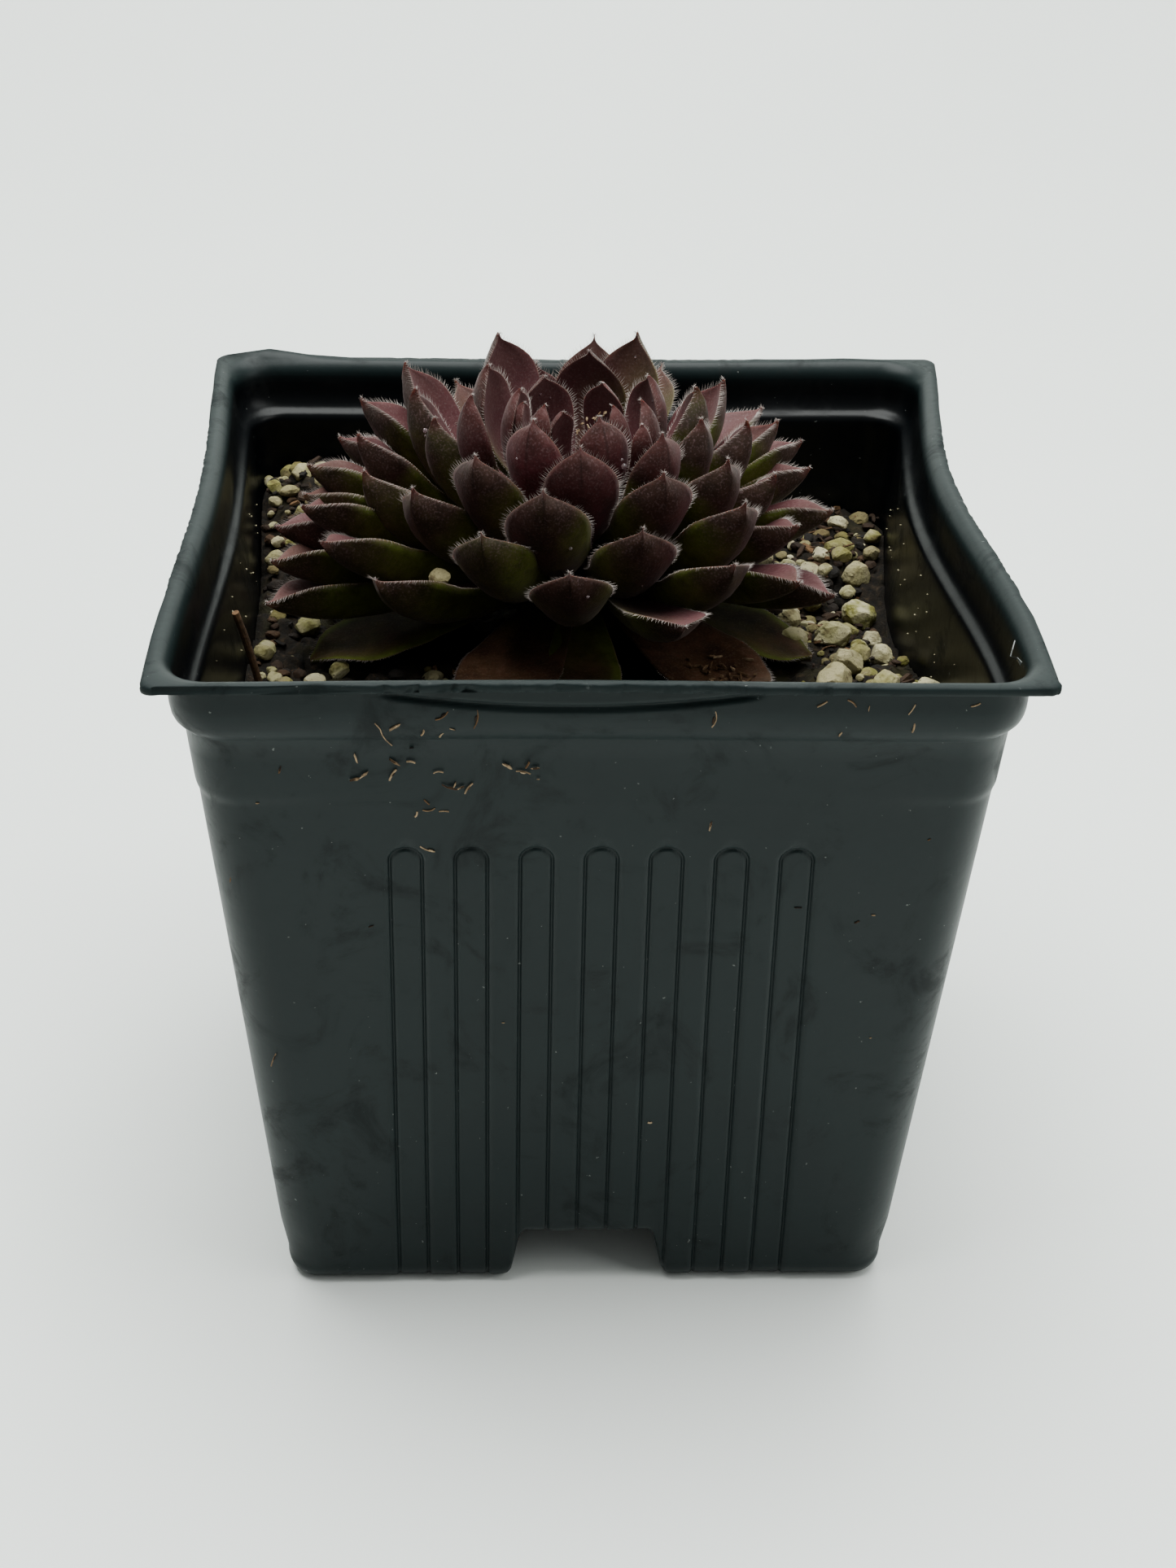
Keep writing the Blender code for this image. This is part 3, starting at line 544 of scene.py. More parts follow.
def innerRows():
    # down from the rim's inner edge to the pot's floor
    wall = potShape["wall"]
    rows = [(half, corner, potShape["height"] - below) for half, corner, below in potShape["ledge"]]
    for z in (72.0, 70.0, 68.6, 67.8, 66.8, 64.5, 62.0, 58.0, 50.0, 40.0, 28.0, 16.0):
        proud = potShape["step"][1] * ease((z - potShape["step"][0]) / 1.8)
        rows.append((wallHalf(z) + proud - wall, potShape["corner"] - wall, z))
    inner = potShape["baseEdge"] - wall
    for k in (4, 3, 2, 1, 0):
        turn = math.radians(90.0 * k / 4)
        half = potShape["baseHalf"] - wall - inner * (1 - math.sin(turn))
        corner = potShape["corner"] - wall - 3 * math.cos(turn)
        rows.append((half, corner, wall + inner * (1 - math.cos(turn))))
    return rows


def fluteDepth(along, z):
    if along is None:
        return 0.0
    count, pitch, width, depth, top = potShape["flutes"]
    along -= potShape["fluteShift"]
    number = min(max(round(along / pitch), -(count // 2)), count // 2)
    away = math.hypot(along - number * pitch, max(z - top + 0.5 * width, 0.0)) - 0.5 * width
    return depth * (0.3 * ease((0.05 - away) / 0.3) + 0.75 * math.exp(-(((away + 0.03) / 0.19) ** 2)))


def sideTouch(quarter, along, half, z):
    # how far a side lies behind its plain shape: flat over the step, creased and cracked
    # along the front flange
    if along is None:
        return 0.0
    inset = 0.0
    if potShape["step"][0] - 0.3 < z < potShape["shoulder"][1]:
        start, reach = potShape["stepFade"]
        inset += (half - wallHalf(z)) * (1.0 - ease((abs(along) - start) / reach))
    if quarter == 0:
        centre, span, height, bow, depth = potShape["crease"]
        share = max(1.0 - ((along - centre) / span) ** 2, 0.0)
        over = z - height + bow * share
        pressed = math.exp(-((over / 0.24) ** 2)) + 0.45 * ease(over / 0.3)
        inset += depth * ease(share / 0.3) * pressed
        if potShape["rimHalf"] - 0.1 < half and z < potShape["height"] - 0.1:
            torn = noise.noise(Vector((along * 0.55, z * 0.9, 1.7)))
            torn += 0.6 * noise.noise(Vector((along * 2.1, z, 5.0)))
            inset += 0.5 * max(torn + 0.1, 0.0) * ease((-8.0 - along) / 8.0)
            inset += 0.25 * max(torn, 0.0)
    return inset


def rimRise(x, y, half):
    # the torn lip at the back left corner and two nubs at the back right
    rise = 0.0
    for centreX, centreY, reach, high in potShape["lipNubs"]:
        rise += high * ease(1.0 - math.hypot(x - centreX, y - centreY) / reach)
    rise *= 1.0 + 0.35 * noise.noise(Vector((x, y, 0.0)) * 1.3)
    return rise * ease((half - 42.8) / 1.4)


def baseGrid(ringStart, ringSize, places, heightAt, points, faces, flip):
    # the floor between the ring's sides: a grid on the coarse columns, and a fan at each corner
    keep = [k for k, (_, coarse) in enumerate(places) if coarse]
    xs = [places[k][0] for k in keep]
    start = len(points)
    size = len(xs)
    last = size - 1
    for y in xs:
        for x in xs:
            points.append(Vector((x, y, heightAt(x, y))))

    def gridIndex(i, j):
        return start + j * size + i

    def ringIndex(k):
        return ringStart + k % ringSize

    def put(face):
        faces.append(tuple(reversed(face)) if flip else tuple(face))

    for j in range(last):
        for i in range(last):
            put((gridIndex(i, j), gridIndex(i, j + 1), gridIndex(i + 1, j + 1), gridIndex(i + 1, j)))
    inward = [lambda k: gridIndex(k, 0), lambda k: gridIndex(last, k),
              lambda k: gridIndex(last - k, last), lambda k: gridIndex(0, last - k)]
    for quarter in range(4):
        begin = quarter * (len(places) + potShape["cornerSteps"] - 1)
        for k in range(last):
            along = [ringIndex(begin + m) for m in range(keep[k], keep[k + 1] + 1)]
            put(along[::-1] + [inward[quarter](k), inward[quarter](k + 1)])
        for k in range(potShape["cornerSteps"]):
            first = begin + len(places) - 1 + k
            put((ringIndex(first + 1), ringIndex(first), inward[quarter](last)))


def potPoint(point, quarter, along, half, z, inside):
    # one point of a ring, moved for the channels, the flutes, the rim and the dents
    outwards = quarterTurn(quarter) @ Vector((0, -1, 0))
    blend = potShape["channelBlend"]
    if along is not None and z < blend:
        roof = channelRoof(along, grow=potShape["wall"] if inside else 0.0)
        share = roof / potShape["channel"][0][1]
        if z < potShape["baseEdge"] and not inside:
            point += outwards * (wallHalf(z) - half) * 0.72 * share
        low = 1.0 - 0.6 * share
        point.z = roof + z * (low + ((blend - roof) / blend - low) * ease(z / blend))
    if not inside:
        point -= outwards * (fluteDepth(along, point.z) + sideTouch(quarter, along, half, z))
    if half > potShape["rimHalf"] - 0.5:
        ragged = noise.noise(point * 0.9) + 0.7 * noise.noise(point * 2.7)
        ragged += 0.5 * noise.noise(point * 6.0)
        point -= outwards * (potShape["roughEdge"] * max(0.5 - ragged, 0.0))
        point.z += 0.07 * noise.noise(point * 0.35)
    if z > potShape["rimFrom"]:
        point.z += rimRise(point.x, point.y, half)
    return dented(point)


def buildPot():
    columns = sideColumns()
    rows = [(*row, False) for row in outerRows()] + [(*row, True) for row in innerRows()]
    points = []
    tones = []
    for half, corner, z, inside in rows:
        places = [place for place, _ in sidePlaces(columns, half - corner)]
        ring = squareRing(places, half, corner, half - corner, z)
        points += [potPoint(point, quarter, along, half, z, inside) for point, quarter, along in ring]
        # the deeper inside the pot a ring lies, the darker its colour is painted: painted shade
        deep = ease((potShape["height"] - 0.9 - z) / 1.5) if inside else 0.0
        tones += [(deep, 0.0, ease((half - 43.7) / 0.6) if z > potShape["rimFrom"] else 0.0)] * len(ring)
    ringSize = len(ring)
    faces = ringFaces(len(rows), ringSize)
    for row, base, grow, flip in ((0, 0.0, 0.0, False), (len(rows) - 1, rows[-1][2], 1.0, True)):

        def heightAt(x, y, base=base, grow=grow):
            return base + channelRoof(x, y, grow)

        places = sidePlaces(columns, rows[row][0] - rows[row][1])
        baseGrid(row * ringSize, ringSize, places, heightAt, points, faces, flip)
    tones += [(0.0, 0.0, 0.0)] * (len(points) - len(tones))
    pile = MeshPile()
    pile.add(points, faces, tones)
    faceOutwards(pile.build("potShell", potPlastic(), True, "pot"))


# the potting mix

soilShape = {
    "level": 63.6,
    "mounds": ((-31.0, 31.0, 11.0, 8.5), (35.0, -26.0, 12.0, 4.0), (34.0, 10.0, 11.0, -3.2),
               (-34.0, -22.0, 13.0, -1.6), (2.0, -32.0, 16.0, 1.2)),      # across, back, reach, rise
    "gap": 0.12,
    "cell": 0.7,
    "relief": 1.25,
    "corner": 6.7,
    "footRoof": 14.0,     # up to here the sides follow the channels
    "edgeRings": 8,
    "edgeStep": 0.9,
}


def soilHeight(x, y):
    z = soilShape["level"]
    for centreX, centreY, reach, rise in soilShape["mounds"]:
        away = math.hypot(x - centreX, y - centreY) / reach
        z += rise * math.exp(-away * away)
    ripple = math.sin(0.61 * x + 1.3) * math.cos(0.53 * y) + 0.6 * math.sin(0.37 * x - 0.45 * y)
    return z + 0.35 * ripple


def groundAt(x, y):
    # the mix with its clods and pits
    rough = noise.fractal(Vector((x, y, 3.0)) * 0.42, 0.9, 2.1, 5)
    return soilHeight(x, y) + (soilShape["relief"] * rough - 0.25)


def buildSoil(material):
    gap = soilShape["gap"] + potShape["wall"]
    level = soilShape["level"]
    footRoof = soilShape["footRoof"]
    reach = wallHalf(level) - gap - 7.0
    count = int(reach / soilShape["cell"])
    columns = [(reach * k / count, True) for k in range(-count, count + 1)]
    inner = potShape["baseEdge"] - potShape["wall"]
    rows = []
    for turn in (0.0, math.radians(45.0), math.radians(90.0)):
        half = potShape["baseHalf"] - gap - inner * (1 - math.sin(turn))
        rows.append((half, gap + inner * (1 - math.cos(turn))))
    rows += [(wallHalf(z) - gap, z) for z in (footRoof, 30.0, 50.0, level - 2.0)]
    for k in range(soilShape["edgeRings"]):
        rows.append((wallHalf(level) - gap - soilShape["edgeStep"] * k, None))
    points = []
    for half, z in rows:
        fixed = reach if z is None else half - soilShape["corner"]
        places = [place * fixed / reach for place, _ in columns]
        ring = squareRing(places, half, half - fixed, fixed, 0.0)
        for point, quarter, _ in ring:
            if z is None:
                point.z = groundAt(point.x, point.y)
            elif z < footRoof:
                roof = channelRoof(point.x if quarter % 2 == 0 else point.y, grow=gap)
                point.z = roof + z * (footRoof - roof) / footRoof
            else:
                point.z = z
            points.append(dented(point))
    ringSize = len(ring)
    faces = ringFaces(len(rows), ringSize)

    def bottomAt(x, y):
        return gap + channelRoof(x, y, gap)

    firstFixed = rows[0][0] - soilShape["corner"]
    bottomColumns = [(place * firstFixed / reach, k % 4 == 0) for k, (place, _) in enumerate(columns)]
    bottomColumns[-1] = (bottomColumns[-1][0], True)
    baseGrid(0, ringSize, bottomColumns, bottomAt, points, faces, False)
    baseGrid((len(rows) - 1) * ringSize, ringSize, columns, groundAt, points, faces, True)
    faceOutwards(makePiece("pottingMix", points, faces, material, True, "soil"))


# the plant: leaves on a clockwise spiral, the same places as the solids

plantShape = {
    "stemPlace": (-0.8, 9.2),
    "place": (-0.85, 5.5),
    "spiralLeaves": 48,
    "missing": (42,),
    "leafTurn": -137.1,
    "firstTurn": 253.2,
    "radius": 31.3,
    "radiusPower": 0.73,
    "heartShift": (0.1, -4.6),
    "lean": (5.5, -2.2),
    "leanHeight": 70.0,
    # by age, from the heart outwards
    "tipHeights": ((0.0, 94.0), (0.25, 94.2), (0.5, 88.6), (0.75, 85.6), (1.0, 80.5)),
    "widths": ((0.0, 2.2), (0.025, 3.4), (0.07, 4.4), (0.1, 6.4), (0.2, 7.6), (0.3, 8.4),
               (0.45, 9.2), (0.8, 8.8), (1.0, 8.2)),
    "bends": ((0.0, 22.0), (0.15, 42.0), (0.5, 48.0), (0.75, 38.0), (1.0, 11.0)),
    "cups": ((0.0, 0.08), (0.2, 0.13), (0.45, 0.22), (1.0, 0.25)),     # hollow of the upper face
    "thickness": 2.3,
    "roll": 0.40,          # how far the outer leaves at the sides turn their flank to the front
    "rootCentre": (0.0, 4.0),
    "rootRadius": 5.4,
    "rootHeights": (72.8, 80.5),
    # single leaves that leave the spiral: turn, further out, higher
    "nudges": {
        1: (0, 0.0, -1.8), 9: (10, 0.5, -1.6), 12: (0, 0.0, -1.8), 17: (0, 0.5, 0.3), 21: (3, 0.0, 2.0),
        22: (-5, 4.0, 2.5), 25: (7, 4.5, 1.5), 27: (0, 0.0, 2.5), 28: (0, -1.5, 0.0), 29: (4, 0.0, 0.0),
        33: (0, 3.0, -1.5), 34: (-7, 0.0, -0.5), 35: (0, 2.0, 2.8), 36: (0, -3.5, -2.0), 37: (-4, 2.0, -4.0),
        38: (0, -1.0, 3.5), 40: (0, -3.0, 3.2), 41: (0, 0.0, -1.8), 44: (0, -4.0, -1.4), 46: (0, 0.0, 1.2),
        48: (0, -4.3, 6.5),
    },
    # the last touch on each tip: right, back, up
    "tipTouches": {
        1: (-0.5, 0.0, 0.1), 2: (0.9, 0.0, 0.3), 3: (0.6, 0.5, 0.5), 4: (0.8, 0.5, -0.2), 5: (0.5, 1.2, 0.6),
        6: (0.2, 0.1, 0.0), 7: (-0.5, -0.8, -0.6), 8: (0.1, 1.3, 0.9), 10: (1.0, -1.0, -0.6),
        11: (-0.4, 1.8, 0.5), 12: (0.5, 0.0, 0.0), 13: (0.0, 0.8, 0.6), 14: (-0.4, 1.0, 0.1),
        15: (0.0, -1.0, -0.7), 19: (0.3, 0.0, -0.5), 20: (-0.7, 0.0, 0.0), 23: (-1.1, 0.0, 0.1),
        24: (-0.3, -0.6, -0.9), 25: (0.6, 0.0, 0.3), 27: (0.6, 0.0, 0.0), 29: (0.0, 0.0, 0.7),
        31: (-0.7, 0.0, 0.7), 34: (0.8, 0.0, 0.1), 37: (0.6, 0.0, -0.3), 45: (-0.4, 0.0, 0.9),
        46: (-1.0, 0.0, 0.0),
    },
    # leaves round the foot: azimuth, reach, height of the tip
    "footLeaves": (
        (15, 27.7, 79.2), (28, 30.0, 79.0), (45, 32.0, 79.0), (76, 30.0, 81.0), (101, 30.5, 80.0),
        (126, 31.0, 79.5), (153, 30.2, 81.6), (172, 30.2, 83.2), (179, 30.4, 81.6), (187, 30.5, 82.4),
        (181, 33.7, 78.2), (191, 34.5, 77.2), (197, 36.0, 74.2), (-36, 29.0, 78.5), (-18, 29.6, 72.0),
        (-2, 28.6, 78.2),
    ),
    # two young leaves of the heart, too small for the solids: x, y, height and width
    "youngLeaves": ((6.9, -8.75, 93.6, 3.2), (-5.4, -2.2, 93.3, 3.4)),
    "youngAge": 0.06,
    "core": ((0.0, 6.6), (0.12, 8.2), (0.4, 7.4), (0.65, 5.4), (0.85, 3.4), (1.0, 1.6)),     # rise, radius
    # the drooping old leaves: azimuth, reach, width
    "oldLeaves": ((-178, 29.0, 10.0), (-155, 33.0, 12.0), (-111, 31.0, 11.5), (-90, 30.0, 8.5),
                  (-53, 32.0, 12.5), (-27, 29.0, 10.0)),
    "oldGreens": (0.42, 0.45, 0.22, 0.42, 0.15, 0.42),
    "oldThickness": 1.5,
    "oldHollow": 0.12,
    "oldRootHeight": 68.2,
    "ring": (4.9, 8.6, 66.4, 69.8),
    "stations": (0.0, 0.03, 0.06, 0.09, 0.13, 0.17, 0.22, 0.28, 0.35, 0.43, 0.52, 0.62, 0.74, 0.88, 1.05),
}

# how wide a leaf is at a distance from its tip, both as shares of its full width
tipOutline = ((0.0, 0.0), (0.02, 0.022), (0.05, 0.06), (0.08, 0.13), (0.12, 0.28), (0.17, 0.45), (0.24, 0.64),
              (0.33, 0.81), (0.44, 0.93), (0.56, 0.99), (0.7, 1.0), (0.85, 0.98), (1.05, 0.93))
tipThickness = ((0.0, 0.12), (0.06, 0.26), (0.15, 0.45), (0.33, 0.66), (0.6, 0.86), (1.0, 1.0))
rootOutline = ((0.0, 0.5), (0.35, 0.8))
oldOutline = ((0.0, 0.45), (0.3, 0.72), (0.6, 1.0), (0.72, 0.97), (0.82, 0.84), (0.9, 0.58), (0.96, 0.25),
              (1.0, 0.06))
oldLeafRoot = plantShape["ring"][0] + 2.0
stemCentre = Vector((*plantShape["stemPlace"], 0.0))
heartCentre = Vector((*plantShape["heartShift"], 0.0))
rootCentre = Vector((*plantShape["rootCentre"], 0.0))
up = Vector((0.0, 0.0, 1.0))


def leaned(point):
    leanX, leanY = plantShape["lean"]
    turn = Matrix.Rotation(math.radians(leanY), 3, "Y") @ Matrix.Rotation(math.radians(leanX), 3, "X")
    pivot = up * plantShape["leanHeight"]
    return turn @ (point - pivot) + pivot + Vector((*plantShape["place"], 0.0))


def curvePoint(handles, share):
    rest = 1.0 - share
    a, b, c, d = handles
    return a * rest**3 + b * 3 * rest**2 * share + c * 3 * rest * share**2 + d * share**3


def leafStations(length, width):
    # shares of the length, closer together at the tip, each with its share of width and thickness
    stations = []
    for back in plantShape["stations"]:
        share = 1.0 - back * width / length
        if share < 0.3:
            break
        stations.append((share, between(tipOutline, back), between(tipThickness, back)))
    first = stations[-1][0]
    for k in range(1, 7):
        share = first * (1.0 - k / 6.0)
        if first > 0.36:
            wide = between((*rootOutline, (first, stations[-1][1])), share)
        else:
            wide = 0.5 + 0.47 * share / first
        stations.append((share, wide, 0.8 + 0.2 * ease(share / 0.35)))
    return stations[::-1]


def leafSection(stationShare, deep, hollow):
    # round underneath, keeled towards the tip, gently cupped above, with a blunt margin
    keel = 2.15 - 0.65 * ease((stationShare - 0.78) / 0.2)
    section = []
    for x in (-1.0, -0.88, -0.68, -0.46, -0.22, 0.0, 0.22, 0.46, 0.68, 0.88, 1.0):
        section.append((x, hollow - (deep + hollow) * (1.0 - abs(x) ** keel), 0.0))
    for x in (0.94, 0.7, 0.38, 0.0, -0.38, -0.7, -0.94):
        section.append((x, hollow * x * x + min(0.09 * deep, 0.14), 1.0))
    return section


class LeafMargins:
    # the two edges of a leaf, for its hairs: points, outward sides, up and distance from the tip
    def __init__(self, side, width, thinning):
        self.side = side
        self.width = width
        self.thinning = thinning
        self.edges = ([], [])

    def note(self, ring, upwards, back):
        left, right = self.edges
        left.append((ring[0], -self.side, upwards, back))
        right.append((ring[10], self.side, upwards, back))


def leafGreen(x, back, side, age, tint):
    # the flank that faces the front is the green one, more so far from the tip and on the right
    front = -x * math.copysign(abs(side.y) ** 0.6, side.y) * (0.78 + 0.3 * side.y)
    green = 0.04 + 0.43 * ease((age - 0.12) / 0.35) * (1.0 - 0.1 * abs(side.y)) + tint
    begins = 0.8 + 1.6 * side.y**2
    along = ease((back - begins) / (5.0 + 1.2 * side.y**2))
    green += 0.9 * along * (0.22 + 0.95 * front) * ease(age / 0.22)
    green += 0.3 * ease((abs(x) - 0.6) / 0.4) * ease((back - 3.0) / 6.0) * (0.5 + 0.5 * front)
    return min(max(green, 0.0), 1.0)


def addLeaf(pile, handles, side, width, thickness, cup, age, draw):
    length = (handles[3] - handles[0]).length
    rings = []
    tones = []
    margins = LeafMargins(side, width, 1.0)
    wave = draw.uniform(0, 6.0)
    tint = draw.uniform(-0.15, 0.15)
    roll = -plantShape["roll"] * math.copysign(abs(side.y) ** 0.6, side.y) * ease((age - 0.2) / 0.3)
    for share, wide, thick in leafStations(length, width):
        middle = curvePoint(handles, share)
        ahead = curvePoint(handles, min(share + 0.02, 1.0)) - curvePoint(handles, max(share - 0.02, 0.0))
        upwards = ahead.normalized().cross(side).normalized()
        wide = wide ** (1.0 + 0.4 * ease((age - 0.3) / 0.3))
        half = max(0.5 * width * wide, 0.03)
        back = (1.0 - share) * length
        ring = []
        closeness = math.exp(-back / (5.5 + 4.0 * side.y**2))
        for x, z, upper in leafSection(share, max(thickness * thick, 0.07), cup * width * wide):
            sway = 0.05 * math.sin(wave + 9.0 * share) * x
            lift = half * x * math.sin(roll)
            across = half * x * math.cos(roll) - z * math.sin(roll)
            ring.append(middle + side * across + upwards * (z + sway + lift))
            tones.append((closeness, leafGreen(x, back, side, age, tint), abs(x)))
            pile.uppers.append(upper)
        rings.append(ring)
        margins.note(ring, upwards, back)
    pile.add(*loftRings(rings), tones)
    return margins


def leafHandles(share, tip):
    centre = heartCentre.lerp(rootCentre, ease(share / 0.4))
    out = (Vector((tip.x, tip.y, 0.0)) - centre).normalized()
    low, high = plantShape["rootHeights"]
    root = centre + out * (plantShape["rootRadius"] * share**0.6)
    root.z = low + (high - low) * (1.0 - share) ** 1.2
    chord = tip - root
    rise = math.atan2(chord.z, chord.dot(out))
    length = chord.length
    bend = math.radians(between(plantShape["bends"], share))
    start = rise - bend
    end = rise + bend
    near = root + (out * math.cos(start) + up * math.sin(start)) * 0.38 * length
    far = tip - (out * math.cos(end) + up * math.sin(end)) * 0.4 * length
    handles = [leaned(point) for point in (root, near, far, tip)]
    return handles, (leaned(root + sideOf(out)) - handles[0]).normalized()


def livingLeaves():
    # number, share of the spiral, place of the tip in the rosette's own upright frame and width
    leaves = []
    for number in range(1, plantShape["spiralLeaves"] + 1):
        if number in plantShape["missing"]:
            continue
        turn, further, higher = plantShape["nudges"].get(number, (0, 0.0, 0.0))
        share = number / plantShape["spiralLeaves"]
        out = direction(plantShape["firstTurn"] + plantShape["leafTurn"] * number + turn)
        reach = plantShape["radius"] * share ** plantShape["radiusPower"] + further
        tip = heartCentre * (1.0 - share) + out * reach
        tip.z = between(plantShape["tipHeights"], share) + higher
        tip += Vector(plantShape["tipTouches"].get(number, (0.0, 0.0, 0.0)))
        leaves.append((number, share, tip, between(plantShape["widths"], share)))
    for x, y, height, width in plantShape["youngLeaves"]:
        leaves.append((0, plantShape["youngAge"], Vector((x, y, height)), width))
    for azimuth, reach, height in plantShape["footLeaves"]:
        tip = direction(azimuth) * reach + up * height
        leaves.append((0, 1.0, tip, between(plantShape["widths"], 1.0)))
    return leaves


def buildRosette(material):
    draw = random.Random(11)
    pile = MeshPile()
    margins = []
    leafFrames = {}
    for number, share, tip, width in livingLeaves():
        handles, side = leafHandles(share, tip)
        thickness = plantShape["thickness"] * min(1.0, 0.62 + share)
        cup = between(plantShape["cups"], share) * (0.3 + 0.7 * abs(side.y))
        leafFrames[number] = (handles, side, width, cup)
        margins.append(addLeaf(pile, handles, side, width, thickness, cup, share, draw))
    rings = []
    foot = plantShape["ring"][3] + 1.1
    top = plantShape["rootHeights"][1] + 1.5
    for share, radius in plantShape["core"]:
        centre = rootCentre.lerp(heartCentre, share**2)
        centre.z = foot + (top - foot) * share
        rings.append([leaned(centre + direction(15.0 * k) * radius) for k in range(24)])
    points, faces = loftRings(rings)
    pile.add(points, faces, [(0.0, 0.6, 0.3)] * len(points))
    pile.uppers += [0.0] * len(points)
    pile.build("rosetteLeaves", material, True, "rosette")
    return margins, leafFrames


def oldLeafDeep(share):
    return max(plantShape["oldThickness"] * (1.0 - 0.5 * ease((share - 0.5) / 0.5)), 0.7)


def oldLeafHeight(place):
    # the top of the nearest old leaf at this distance from the stem
    away = place - stemCentre
    away.z = 0.0
    ahead = away.normalized()
    azimuth, reach, width = min(plantShape["oldLeaves"], key=lambda leaf: -ahead.dot(direction(leaf[0])))
    out = direction(azimuth)
    along = away.dot(out)
    share = (along - oldLeafRoot) / (reach - oldLeafRoot)
    half = 0.5 * width * between(oldOutline, share)
    middle = stemCentre + out * along
    ground = max(soilHeight(*(middle + sideOf(out) * x).xy) for x in (-half, 0.0, half))
    low = ground + oldLeafDeep(share) + 0.6
    return low + max(plantShape["oldRootHeight"] - low, 0.0) * (1.0 - ease(share * 1.1))


def buildOldLeaves(material):
    draw = random.Random(5)
    pile = MeshPile()
    margins = []
    for (azimuth, reach, width), green in zip(plantShape["oldLeaves"], plantShape["oldGreens"]):
        out = direction(azimuth)
        side = sideOf(out)
        rings = []
        tones = []
        edges = LeafMargins(side, width, 0.75)
        tint = draw.random()
        for k in range(25):
            share = k / 24.0
            middle = stemCentre + out * (oldLeafRoot + (reach - oldLeafRoot) * share)
            half = 0.5 * width * between(oldOutline, share)
            middle.z = oldLeafHeight(middle)
            ring = []
            for x, z, upper in leafSection(0.5, oldLeafDeep(share), plantShape["oldHollow"]):
                crease = -0.18 * math.exp(-((x / 0.16) ** 2)) * upper
                ring.append(middle + side * (half * x) + up * (z + crease))
                fresh = green + 0.15 * tint + 0.7 * ease((abs(x) - 0.62) / 0.3) * ease(green * 4.0 - 0.8)
                fresh += 0.45 * (1.0 - ease(share / 0.7))
                tones.append(((0.9 if green < 0.2 else 0.25) * share**4, min(fresh, 1.0), abs(x)))
                pile.uppers.append(0.1 * upper)
            rings.append(ring)
            edges.note(ring, up, (1 - share) * reach)
        pile.add(*loftRings(rings), tones)
        margins.append(edges)
    ringInner, ringOuter, footZ, topZ = plantShape["ring"]
    profile = ((ringInner, footZ), (ringOuter, footZ), (ringOuter, topZ - 1.0), (ringOuter - 1.0, topZ),
               (ringInner, topZ))
    rings = [[stemCentre + direction(12.0 * k) * radius + up * z for radius, z in profile] for k in range(31)]
    points, faces = loftRings(rings, False)
    pile.add(points, faces, [(0.0, 0.5, 0.4)] * len(points))
    pile.uppers += [0.0] * len(points)
    pile.build("oldLeaves", material, True, "old_leaves")
    return margins


# hairs along the leaf margins, each one a small pointed solid

hairLook = {
    "spacing": 0.27,
    "length": 0.86,
    "thick": 0.027,
    "ceiling": 93.95,
    "reach": 13.0,       # how far back from the tip they grow
    "tuft": 7,           # short hairs on each leaf's point
}


def addHair(pile, root, aim, length):
    ahead = aim.normalized()
    across = ahead.orthogonal().normalized()
    other = ahead.cross(across)
    thick = hairLook["thick"]
    foot = [root + (across * math.cos(turn) + other * math.sin(turn)) * thick for turn in (0.0, 2.094, 4.189)]
    point = root + ahead * length
    point.z = min(point.z, hairLook["ceiling"])
    pile.add(foot + [point], [(0, 2, 1), (0, 1, 3), (1, 2, 3), (2, 0, 3)])


def buildHairs(name, margins, material, seed):
    draw = random.Random(seed)
    pile = MeshPile()
    for leaf, margin in [(leaf, edge) for leaf in margins for edge in leaf.edges]:
        scale = hairLook["length"] * min(1.0, 0.5 + leaf.width / 14.0) * leaf.thinning
        for (low, side, upwards, lowBack), (high, _, _, highBack) in zip(margin, margin[1:]):
            if highBack > hairLook["reach"]:
                continue
            step = high - low
            ahead = step.normalized()
            out = (side - ahead * side.dot(ahead)).normalized()
            count = int(step.length / hairLook["spacing"] + draw.random())
            for number in range(count):
                share = (number + draw.uniform(0.2, 0.8)) / count
                back = lowBack + (highBack - lowBack) * share
                size = scale * draw.uniform(0.7, 1.12) * (1.0 - 0.65 * ease((back - 3.5) / 6.5))
                size *= 0.62 + 0.38 * ease((back - 0.2) / 1.2)
                aim = out + ahead * draw.uniform(0.05, 0.5) + upwards * draw.uniform(-0.28, 0.28)
                addHair(pile, low.lerp(high, share) - out * 0.04, aim, size)
        tip, side, upwards, _ = margin[-1]
        for _ in range(hairLook["tuft"]):
            aim = side * draw.uniform(0.2, 1.0) + upwards * draw.uniform(-1.0, 1.0)
            aim += (tip - margin[-2][0]).normalized() * draw.uniform(-0.2, 0.9)
            addHair(pile, tip, aim, scale * draw.uniform(0.3, 0.6))
    pile.build(name, material, False)


# drops of water on the leaves: leaf number, distance from the tip, place across, upper face or not, size

